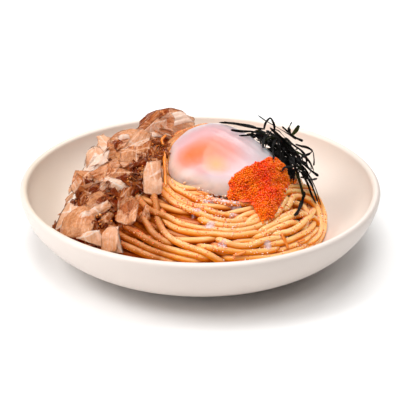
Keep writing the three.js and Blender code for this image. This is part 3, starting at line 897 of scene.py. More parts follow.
def make_roe():
    co, faces = cad_mesh("roe_heap")
    skin = Skin(co, faces, 1.5, 5.0)
    points, normals = on_surface(co, faces, GRAIN_COUNT, -0.5)
    points = points - normals * rng.uniform(0.1, 1.7, GRAIN_COUNT)[:, None]
    depth = rng.choice([0.2, 1.2], GRAIN_COUNT, p=[0.6, 0.4]) + rng.normal(0, 0.18, GRAIN_COUNT)
    x, y, z = points.T
    depth = depth + 0.55 * np.sin(x * 0.75 + 1) * np.sin(y * 0.7 + z * 0.4)
    for _ in range(24):
        points += pushed_apart(points, *close_pairs(points, GRAIN * 2.1), GRAIN * 1.9, 0.4)[0]
        out, normal = skin.at(points)
        points -= normal * ((out + depth) * 0.35)[:, None]
    sizes = GRAIN * rng.normal(1, 0.1, GRAIN_COUNT)
    mesh, mesh_faces, owner = grains(points, sizes, icosphere(2), 0.0, 0.04)
    middle = (co.min(0) + co.max(0))[:2] / 2
    from_middle = np.linalg.norm((points[:, :2] - middle) / (19, 23), axis=1)
    tint = rng.random(GRAIN_COUNT) * 0.7 + np.clip(from_middle - 0.35, 0, 0.9)
    make_piece("roe_grains", mesh, mesh_faces, roe_material(), "roe", ["roe_heap"], {"tint": tint[owner]})
    make_piece("roe_core", co - skin.at(co)[1] * 1.2, faces, roe_under_material(), "roe")


# ---------------------------------------------------------------- what is scattered over the noodles
SPECK_TRIES = 44000
CURD_COUNT = 520
DRIP_TURNS, DRIP_RINGS = 32, 8
# Milky drips: middle (x, y), half length, half width and bearing, in mm and degrees.
DRIPS = [
    ((6, -42), 7.0, 3.0, 8), ((14, -40.5), 5.0, 2.4, -8), ((20, -42), 4.6, 2.6, 84),
    ((18.5, -48), 5.0, 2.0, 75), ((5, -58), 5.0, 2.0, 6), ((12, -68), 3.2, 1.7, 0),
    ((37, -63), 3.0, 1.5, 20), ((-2, -48), 3.4, 1.6, 0),
]
# Strips of orange skin from the roe: width and route, in mm.
ORANGE_STRIPS = [
    (1.9, [(45, -56, 33.5), (46, -57.5, 31), (47.5, -59, 28), (48.5, -60, 26)]),
    (1.6, [(18, -71.5, 28), (21, -71, 28.4), (25, -69.5, 29.5)]),
    (1.4, [(54, -54, 27.5), (56, -53, 27.5), (58, -51.5, 27.5)]),
    (1.2, [(-2, -37, 49.5), (1, -37.5, 49.3), (3, -38.5, 48.5)]),
    (1.8, [(-20.5, -4, 59), (-20.5, -11, 56.5), (-20, -19, 53.5), (-19.5, -26, 51.5), (-19, -31, 49.5)]),
    (1.6, [(-21.5, 2, 61), (-22.5, 7, 62), (-20, 12, 63)]),
]


def make_specks(tree, co, faces):
    """Grains of roe in the sauce on the strands, thickest under the egg's front. The palest are painted
    glints.
    """
    points, normals = on_surface(co, np.array([f[:3] for f in faces]), SPECK_TRIES, 0.0)
    x, y, z = points.T
    band = np.sin(x * 0.35 + 1) * np.sin(y * 0.3 + z * 0.2) * 0.2 + 0.3
    clotted = np.exp(-((x - 10) / 20) ** 2 - ((y + 42) / 7) ** 2)
    keep = rng.random(len(points)) < band + clotted
    keep &= np.array([drop(tree, *spot, height) < height + 0.6 for *spot, height in points])
    points, normals, clotted = points[keep], normals[keep], clotted[keep]
    sizes = rng.uniform(0.14, 0.40, len(points)) * (1 + 0.45 * clotted)
    mesh, mesh_faces, owner = grains(points + normals * 0.1, sizes, icosphere(1), 0.15, 0.35)
    p = Paint("roe_specks")
    tint = p.attribute("tint")
    tone = p.mix(p.ramp(tint, 0.25, 0.5), (0.84, 0.12, 0.012), (0.95, 0.34, 0.11))
    # painted glints: the palest specks are whitish pink
    tone = p.mix(p.ramp(tint, 0.6, 0.8), tone, (1.0, 0.80, 0.68))
    paint = p.finish(Base_Color=tone, Roughness=0.3, Coat_Weight=0.4, Coat_Roughness=0.1)
    # fewer of the palest towards the left
    tints = rng.random(len(points)) * (1 - 0.35 * np.clip((4 - points[:, 0]) / 14, 0, 1))
    make_piece("noodle_specks", mesh, mesh_faces, paint, "roe", attributes={"tint": tints[owner]})


def make_curds(tree, middle, angles, edge, bed):
    """Soft crumbs of white round the front of the egg, where it has broken on the strands."""
    bearing = np.radians(rng.uniform(-150, -15, CURD_COUNT))
    rim, lip = (np.interp(bearing, angles - FULL_TURN, line) for line in (edge, bed))
    out = rim + np.abs(rng.normal(0, 1.4, CURD_COUNT)) - 1.0
    spots = middle + out[:, None] * np.stack([np.cos(bearing), np.sin(bearing)], 1)
    z = np.array([drop(tree, *spot, 40.0) for spot in spots])
    z = z + np.maximum(lip - z, 0) * rng.uniform(0, 1, CURD_COUNT) * (out < rim)
    sizes = rng.uniform(0.3, 0.9, CURD_COUNT)
    mesh, faces, owner = grains(np.column_stack([spots, z + sizes * 0.3]), sizes, icosphere(1), 0.3, 0.5)
    p = Paint("egg_curd")
    tone = p.mix(p.attribute("tint"), (0.93, 0.50, 0.27), (0.93, 0.78, 0.72))
    paint = p.finish(Base_Color=tone, Roughness=0.3, Subsurface_Weight=0.4, Subsurface_Radius=(1, 0.7, 0.6),
                     Subsurface_Scale=0.002)
    tints = rng.random(CURD_COUNT)
    make_piece("egg_curds", mesh, faces, paint, "egg_white", attributes={"tint": tints[owner]})


def drip(tree, middle, length, width, bearing):
    """A flattened drop that follows the strands under it."""
    angles = np.linspace(0, FULL_TURN, DRIP_TURNS, endpoint=False)
    reach = 1 + 0.18 * np.sin(3 * angles + middle[0]) + 0.12 * np.sin(5 * angles + middle[1])
    along, across = np.cos(angles) * length * reach, np.sin(angles) * width * reach
    x = along * math.cos(bearing) - across * math.sin(bearing)
    y = along * math.sin(bearing) + across * math.cos(bearing)
    shares = np.linspace(0, 1, DRIP_RINGS + 1)[1:]
    spots = [middle + s * np.stack([x, y], 1) for s in shares]
    ground = np.array([[drop(tree, *spot, 20.0) for spot in ring] for ring in spots])
    z = ground
    for _ in range(6):
        z = softened(z)
        z[1:-1] = (z[:-2] + 2 * z[1:-1] + z[2:]) / 4
        z = np.maximum(z, ground - 0.1)
    rows = [np.column_stack([ring, level + 0.35 * math.sqrt(1 - s * s * 0.98)])
            for ring, level, s in zip(spots, z, shares)]
    rows.append(rows[-1] - (0, 0, 0.8))
    co = np.concatenate([*rows, [rows[0].mean(0)], [rows[-1].mean(0) - (0, 0, 0.5)]])
    return co, flipped(ring_faces(len(rows), DRIP_TURNS))


def make_drips(tree):
    shapes = [drip(tree, np.array(middle), length, width, math.radians(bearing))
              for middle, length, width, bearing in DRIPS]
    thins = [np.linalg.norm((co[:, :2] - middle) / length, axis=1)
             for (co, _), (middle, length, _, _) in zip(shapes, DRIPS)]
    p = Paint("milky_drip")
    thin = p.math("ADD", p.attribute("thin"), p.ramp(p.noise(260, 2), 0.3, 0.7, -0.25, 0.25))
    tone = p.mix(p.noise(200, 2), (0.90, 0.64, 0.60), (0.90, 0.72, 0.80))
    paint = p.finish(p.ramp(thin, 0.1, 0.9, 0.3, 1.0), Base_Color=tone, Roughness=0.2, Subsurface_Weight=0.4,
                     Subsurface_Radius=(1, 0.7, 0.6), Subsurface_Scale=0.002, Coat_Weight=0.3)
    make_piece("milky_drips", *merged(shapes), paint, "egg_white", attributes={"thin": np.concatenate(thins)})


def make_orange_strips():
    routes = [flowing(route, 12) for _, route in ORANGE_STRIPS]
    mesh, faces, _ = strips(routes, [w for w, _ in ORANGE_STRIPS], 0.8, 0.8)
    skin = plain("orange_skin", (0.86, 0.24, 0.02), 0.3, Coat_Weight=0.4, Coat_Roughness=0.1)
    make_piece("orange_strips", mesh, faces, skin, "roe")


def make_dressing(co, faces, outline):
    """All of it, on the outer strands' mesh."""
    tree = tree_of(co, faces)
    make_specks(tree, co, faces)
    make_curds(tree, *outline)
    make_drips(tree)
    make_orange_strips()


# ---------------------------------------------------------------- the seaweed
STRIP_COUNT = 100             # random strips in the tangle
STRIP_THICKNESS = 0.18
HALF_LENGTH, HALF_WIDTH = 26, 8     # how far the tangle spreads along its axis and across it, in mm


def seaweed_material():
    p = Paint("toasted_seaweed")
    tone = p.mix(p.ramp(p.attribute("tint"), 0.9, 1.0), (0.002, 0.0015, 0.001), (0.03, 0.038, 0.006))
    tone = p.mix(p.ramp(p.noise(500), 0.55, 0.75, 0, 0.5), tone, (0.010, 0.009, 0.006))
    return p.finish(Base_Color=tone, Roughness=p.ramp(p.noise(300, 2), 0.3, 0.7, 0.35, 0.6),
                    Normal=p.bump(p.noise(800), 0.5, 0.0004), IOR=1.4, Specular_IOR_Level=0.2)


def strips(paths, widths, thick, flatness):
    """Flat closed ribbons. Each lies roughly flat, the more with flatness, and turns slowly on its way."""
    co, faces, base = [], [], 0
    for path, width in zip(paths, widths):
        n = len(path)
        s = np.linspace(0, 1, n)
        along = unit(np.gradient(path, axis=0))
        flat = unit(np.cross(along, (0, -0.35, 1.0)) + 1e-6)
        up = np.cross(flat, along)
        turn = (rng.normal(0, 1 - flatness) + wander(s, 0.5, 2)) * 1.2
        across = np.cos(turn)[:, None] * flat + np.sin(turn)[:, None] * up
        face = np.cross(along, across) * thick / 2
        half = width / 2 * (0.85 + 0.3 * np.sin(s * rng.uniform(6, 14) + rng.uniform(0, 6)) * 0.5)
        half = half * np.minimum(1, np.minimum(s, 1 - s) * n * rng.uniform(0.3, 1.2) + 0.3)
        side = across * half[:, None]
        section = [path - side - face, path + side - face, path + side + face, path - side + face]
        co.append(np.stack(section, 1).reshape(-1, 3))
        last = base + 4 * (n - 1)
        faces += ring_quads(n, 4, base)
        faces += [(base + 3, base + 2, base + 1, base), (last, last + 1, last + 2, last + 3)]
        base += 4 * n
    return np.concatenate(co), faces, np.repeat(np.arange(len(co)), [len(c) for c in co])


# Strips that stand clear of the tangle: width and points (along its axis, across it, height), in mm. The last
# one is the green one.
SEAWEED_LOOSE = [
    (2.0, [(-14, -8, 75), (-11, -5, 72), (-7, 0, 68), (-2, 6, 63), (1, 9, 60)]),
    (1.4, [(-12, -5, 66), (-11, -4, 71), (-10, -2, 73), (-8, -1, 70), (-8, 0, 65)]),
    (1.5, [(-28, -26, 71), (-25, -20, 70), (-21, -15, 69), (-16, -10, 68), (-8, -7, 65)]),
    (1.6, [(-17, -27, 70), (-13, -22, 69), (-12, -14, 67), (-6, -8, 64)]),
    (1.4, [(-11, -26, 68), (-9, -19, 67), (-8, -11, 65), (2, -8, 62)]),
    (1.3, [(-29, -21, 70), (-21, -19, 70), (-16, -12, 68), (-10, -6, 67)]),
    (1.8, [(-7, -8, 65), (-3, -14, 64), (1, -18, 62)]),
    (1.8, [(1, -8, 65), (4, -13, 63), (9, -18, 62), (15, -23, 61)]),
    (1.5, [(14, -5, 65), (16, -3, 64), (19, 0, 63), (21, 2, 61), (18, 0, 58), (16, -3, 56)]),
    (1.4, [(15, 1, 56), (17, 4, 57), (18, 5, 59), (19, 6, 54), (19, 6, 50)]),
    (1.8, [(15, -5, 57), (19, -3, 54), (22, 0, 50), (25, 4, 46)]),
    (1.6, [(17, -3, 55), (19, 0, 53), (19, 2, 50), (21, 4, 49)]),
    (1.8, [(19, -21, 54), (16, -15, 54), (16, -9, 53), (19, -4, 53)]),
    (2.2, [(19, -8, 50), (22, -8, 44), (26, -9, 38)]),
    (1.7, [(21, -7, 51), (25, -5, 44), (28, -4, 37), (30, -2, 32)]),
    (1.6, [(21, -6, 51), (24, -4, 47), (27, -2, 41)]),
    (2.3, [(26, -8, 40), (30, -14, 38), (36, -23, 37), (40, -30, 37)]),
    (2.0, [(-1, 7, 62), (-2, 6, 67), (-1, 7, 71)]),
    (1.6, [(-5, 3, 68), (-2, 5, 65), (1, 9, 61), (4, 12, 59)]),
    (1.8, [(-3, -9, 71), (0, -7, 68), (3, -3, 63), (11, -2, 59)]),
    (1.8, [(-8, -7, 67), (3, -7, 65), (7, -5, 60), (16, -3, 57)]),
    (1.6, [(4, -9, 63), (8, -8, 60), (13, -7, 56), (18, -6, 52)]),
    (1.5, [(0, 1, 63), (8, 0, 61), (11, 3, 58), (16, 2, 56), (20, -1, 54)]),
    (1.4, [(-3, -1, 63), (3, -8, 62), (7, -12, 58)]),
    (1.5, [(12, -8, 56), (16, -8, 54), (20, -8, 49)]),
    (1.4, [(22, -8, 48), (25, -3, 46), (24, 4, 44)]),
    (2.6, [(-1, 7, 62), (1, 9, 66), (2, 10, 69)]),
]


def random_route(middle, axis, cross):
    """A short wandering route over the tangle, or None when it would leave it."""
    s, t = rng.normal(0, 0.38), rng.normal(0, 0.42)
    if abs(s) > 1 or abs(t) > 1:
        return None
    start = middle + axis * HALF_LENGTH * s + cross * HALF_WIDTH * t
    heading = math.atan2(axis[1], axis[0]) + rng.normal(0, 1.4) + (math.pi if rng.random() < 0.5 else 0)
    length = rng.uniform(10, 28)
    d = np.linspace(0, 1, int(length / 1.1))
    bend = rng.normal(0, 0.04) + (rng.normal(0, 0.13) if rng.random() < 0.25 else 0)
    angle = heading + bend * d * length + 0.3 * np.sin(d * rng.uniform(3, 10) + rng.uniform(0, 6))
    steps = np.stack([np.cos(angle), np.sin(angle)], 1) * length / len(d)
    route = start + np.cumsum(steps, 0) - steps.sum(0) / 2
    off = np.abs((route - middle) @ np.stack([axis, cross], 1)).max(0)
    return None if off[0] > 38 or off[1] > 12 else route


def raised(route, base, heap):
    """The route at a random height between the food and the top of the tangle, with a hump now and then."""
    under, over = (smoothed(np.array([drop(tree, *q, 0.0) for q in route]), 4) for tree in (base, heap))
    d = np.linspace(0, 1, len(route))
    share = rng.beta(1.6, 0.9)
    z = under + (over - under) * share + wander(d, 0.9) + rng.uniform(0, 1.0) ** 3 * 4 * np.sin(math.pi * d)
    return np.column_stack([route, np.maximum(z, under + 0.3)])


def make_seaweed():
    co, faces = cad_mesh("seaweed_heap")
    low, high = co.min(0), co.max(0)
    food = ("pasta_nest", "egg_white", "roe_heap", "bowl")
    base, heap = solids_tree(*food), solids_tree(*food, "seaweed_heap")
    axis = np.linalg.svd(co[:, :2] - co[:, :2].mean(0), full_matrices=False)[2][0]
    axis = axis * math.copysign(1, axis[0])
    cross = np.array([-axis[1], axis[0]])
    middle = (low + high)[:2] / 2
    paths, widths = [], []
    while len(paths) < STRIP_COUNT:
        route = random_route(middle, axis, cross)
        if route is not None:
            paths.append(raised(route, base, heap))
            widths.append(rng.uniform(0.8, 1.7))
    for width, points in SEAWEED_LOOSE:
        way = flowing(points, 24)
        paths.append(np.column_stack([middle + way[:, :1] * axis + way[:, 1:2] * cross, way[:, 2]]))
        widths.append(width)
    tints = rng.random(len(paths))
    tints[-1] = 1.0
    mesh, mesh_faces, owner = strips(paths, widths, STRIP_THICKNESS, 0.45)
    make_piece("seaweed_strips", mesh, mesh_faces, seaweed_material(), "seaweed", ["seaweed_heap"],
               {"tint": tints[owner]}, smooth=False)
    inside = (co - (low + high) / 2) * (0.42, 0.42, 0.55) + (low + high) / 2 + (-1.5, 1.5, -3.5)
    make_piece("seaweed_core", inside, faces, plain("seaweed_dark", (0.002, 0.0015, 0.0012), 0.8), "seaweed")


# ---------------------------------------------------------------- the bonito
SHEET = 0.16                  # thickness of a shaving, in mm
BIT = 0.12                    # thickness of a broken bit
EDGE_LINE = 0.42              # width of the dark line along a shaving's edge
SHEET_VALUES = ("along", "across", "tint", "edge", "veil")
LEVELS = [                    # colours by level, each reached from the one before it between two levels
    (0.0, 0.30, (0.56, 0.17, 0.035)), (0.30, 0.58, (0.84, 0.415, 0.18)),
    (0.58, 0.82, (0.98, 0.64, 0.415)), (0.82, 1.1, (1.0, 0.88, 0.77)),
]


def bonito_material():
    p = Paint("bonito_shaving")
    along, across, tint, edge, veil = (p.attribute(key) for key in SHEET_VALUES)
    where = p.node("CombineXYZ", p.times(along, 0.10), across).outputs[0]
    streak, fine = p.noise(0.8, 4, 0.65, where), p.noise(2.4, 3, 0.6, where)
    # pale: where the painted highlights run in streaks along the fibres
    pale = p.noise(1.5, 2, vector=where)
    patch, speck, glint = p.noise(150, 4, 0.6), p.noise(650, 2), p.noise(1100, 2)
    grainy = p.ramp(tint, 0.5, 0.75, 1, 0.35)
    level = p.math("ADD", tint, p.ramp(streak, 0.3, 0.7, -0.09, 0.11))
    for mottle in (p.ramp(patch, 0.35, 0.65, -0.10, 0.08), p.ramp(speck, 0.35, 0.7, 0.11, -0.14)):
        level = p.math("ADD", level, p.times(grainy, mottle))
    tone = (0.25, 0.030, 0.002)
    for low, high, colour in LEVELS:
        tone = p.mix(p.ramp(level, low, high), tone, colour)
    tone = p.mix(p.times(grainy, p.ramp(fine, 0.56, 0.7, 0, 0.25)), tone, (0.50, 0.15, 0.04))
    glint = p.times(p.ramp(glint, 0.60, 0.70, 0, 0.5), p.ramp(tint, 0.3, 0.6))
    tone = p.mix(glint, tone, (1.0, 0.90, 0.80))
    # painted highlights in streaks along the fibres
    tone = p.mix(p.ramp(pale, 0.57, 0.64, 0, 0.4), tone, (1.0, 0.88, 0.78))
    tone = p.mix(edge, tone, (0.17, 0.045, 0.012))
    bumps = p.bump(fine, 0.5, 0.0004, Normal=p.bump(speck, 0.25, 0.0003))
    clear = p.times(veil, p.ramp(patch, 0.38, 0.62, 1.6, 0.4))
    through = p.mix(0.3, tone, (1.0, 0.70, 0.48))
    return p.finish(clear, (1.0, 0.93, 0.86), through, Base_Color=tone, Roughness=0.26, Normal=bumps, IOR=1.5,
                    Specular_IOR_Level=p.ramp(tint, 0.25, 0.65, 0.03, 0.45), Coat_Normal=bumps,
                    Coat_Weight=p.ramp(tint, 0.4, 0.8, 0, 0.5), Coat_Roughness=0.1)


def corner_blend(c, a, b):
    """A value from those at a sheet's four corners."""
    return c[0] * (1 - a) * (1 - b) + c[1] * a * (1 - b) + c[2] * a * b + c[3] * (1 - a) * b


def sheet_faces(rows, columns, base):
    """Faces of a closed sheet: its top, its underside, and the band round its edge."""
    total, at = rows * columns, np.arange(rows * columns).reshape(rows, columns)
    a, b, c, d = (part.ravel() for part in (at[:-1, :-1], at[:-1, 1:], at[1:, 1:], at[1:, :-1]))
    cells = np.stack([np.stack([a, d, c, b], 1), np.stack([a, b, c, d], 1) + total], 1).reshape(-1, 4)
    loop = np.concatenate([at[0], at[1:, -1], at[-1, -2::-1], at[-2:0:-1, 0]])
    after = np.roll(loop, -1)
    band = np.stack([loop, after, after + total, loop + total], 1)
    return (np.concatenate([cells, band]) + base).tolist()


class Shavings:
    """Thin closed sheets gathered into one mesh. A sheet comes as a grid of points on its middle, the
    distances of its rows and its columns in mm, and how near each point is to a fold."""

    def __init__(self):
        self.co, self.faces, self.count = [], [], 0
        self.attributes = {key: [] for key in SHEET_VALUES}

    def add(self, sheet, look, thick=SHEET, fold_light=1.0):
        grid, s, t, folds = sheet
        normal = unit(np.cross(np.gradient(grid, axis=0), np.gradient(grid, axis=1)))
        self.faces += sheet_faces(*grid.shape[:2], self.count)
        u, v = np.meshgrid(s, t, indexing="ij")
        away = {"a": v, "b": u.max() - u, "c": v.max() - v, "d": u}
        edge = np.zeros_like(u)
        for side, gap in away.items():
            strong = 1.0 if side in look.get("outline", "") else look.get("line", 0.55)
            broken = np.clip(0.5 + 0.7 * np.sin(u * 0.6 + v * 0.7 + self.count + ord(side)), 0, 1)
            broken = np.maximum(broken, 0.9 * (strong > 0.9))
            edge = np.maximum(edge, (gap < EDGE_LINE + 0.02) * strong * broken)
        tint = corner_blend(look["tint"], u / u.max(), v / v.max()) + 0.4 * (folds * fold_light)
        # painted highlight: the sides given under light are painted lighter, where the edge catches the
        # light, and lose their dark line
        for side in look.get("light", ""):
            tint = tint + np.clip(1 - away[side] / 0.9, 0, 1) * 0.4
            edge = edge * (away[side] > EDGE_LINE + 0.02)
        for side in look.get("rust", ""):
            tint = tint - np.clip(1 - away[side] / 2.6, 0, 1) * 0.5
        values = {"along": u + self.count, "across": v + self.count * 0.37, "tint": tint, "edge": edge,
                  "veil": np.full_like(u, look.get("veil", 0.2) + 0.06)}
        for key, value in values.items():
            self.attributes[key] += [value.ravel(), value.ravel()]
        for half in (normal * thick / 2, -normal * thick / 2):
            self.co.append((grid + half).reshape(-1, 3))
            self.count += len(self.co[-1])

    def build(self, name, material, nodes=()):
        make_piece(name, np.concatenate(self.co), self.faces, material, "bonito", nodes,
                   {key: np.concatenate(values) for key, values in self.attributes.items()})


def lines_across(size, step=0.5):
    """Places of grid lines over a length in mm, with one close to each edge for its dark outline."""
    inner = np.linspace(EDGE_LINE, size - EDGE_LINE, max(int(size / step), 3))
    return np.concatenate([[0], inner, [size]])


def torn(places, size):
    """How far an edge runs out of true: a few straight tears with fine teeth."""
    knots = np.sort(rng.uniform(places[0], places[-1], max(2, int(np.ptp(places) / 3.5))))
    knots = np.concatenate([[places[0]], knots, [places[-1]]])
    return np.interp(places, knots, rng.normal(0, size, len(knots))) + rng.normal(0, size * 0.22, len(places))


def finished(sheet, ends=0.55, sides=0.3, rumple=0.15, fibre=0.05):
    """A sheet with fine fibre ridges, soft rumples and torn edges."""
    grid, s, t, folds = sheet
    du, dv = unit(np.gradient(grid, axis=0)), unit(np.gradient(grid, axis=1))
    normal = unit(np.cross(du, dv))
    u, v = s[:, None], t[None, :]
    q = rng.uniform(0, 6, 8)
    ridge = np.sin(v * 4.2 + 0.5 * np.sin(u * 0.3 + q[0]) + q[1]) + 0.7 * np.sin(v * 7.1 + u * 0.15 + q[2])
    crinkle = np.sin(v * rng.uniform(1.4, 2.1) + 0.9 * np.sin(u * 0.22 + q[7]) + q[2])
    crinkle = crinkle * (0.6 + 0.4 * np.sin(u * 0.33 + q[5]))
    wave = np.sin(u * rng.uniform(0.3, 0.6) + v * rng.uniform(-0.4, 0.4) + q[3]) * np.sin(v * 0.45 + q[4])
    wave = 0.9 * crinkle + wave + 0.4 * np.sin(u * 1.3 + q[5]) * np.sin(v * 1.1 + u * 0.5 + q[6])
    grid = grid + normal * (fibre * ridge + rumple * wave)[..., None]
    a, b = (u - s[0]) / np.ptp(s) * 2 - 1, (v - t[0]) / np.ptp(t) * 2 - 1
    for sign in (1, -1):
        out = np.maximum(b * sign, 0) ** 4 * torn(s, sides)[:, None] * sign
        grid = grid + dv * out[..., None]
        out = np.maximum(a * sign, 0) ** 4 * torn(t, ends)[None, :] * sign
        grid = grid + du * out[..., None]
    return grid, s, t, folds


def shaving_from_node(node):
    """The middle sheet of a CAD shaving."""
    co, faces = cad_mesh(node)
    tree = tree_of(co, faces)
    centre = co.mean(0)
    e1, e2, e3 = np.linalg.svd(co - centre, full_matrices=False)[2]
    u, v = (co - centre) @ e1, (co - centre) @ e2

    def middle(a, b):
        p = centre + e1 * a + e2 * b
        hits = [tree.ray_cast(Vector(p + e3 * k * 40), Vector(-e3 * k))[0] for k in (1, -1)]
        return None if any(hit is None for hit in hits) else (np.array(hits[0]) + np.array(hits[1])) / 2

    trial = np.linspace(v.min(), v.max(), 61)
    s, t = lines_across(np.ptp(u)), lines_across(np.ptp(v))
    grid = np.zeros((len(s), len(t), 3))
    for r, a in enumerate(u.min() + s * 0.98 + np.ptp(u) * 0.01):
        inside = [b for b in trial if middle(a, b) is not None]
        if len(inside) < 2:
            inside = [-0.5, 0.5]
        for c, b in enumerate(inside[0] + t / t[-1] * (inside[-1] - inside[0])):
            m = middle(a, b)
            grid[r, c] = m if m is not None else (grid[r, c - 1] if c else centre + e1 * a + e2 * b)
    for _ in range(3):
        grid = smoothed(smoothed(grid).swapaxes(0, 1)).swapaxes(0, 1)
    return grid, s, t, 0.0


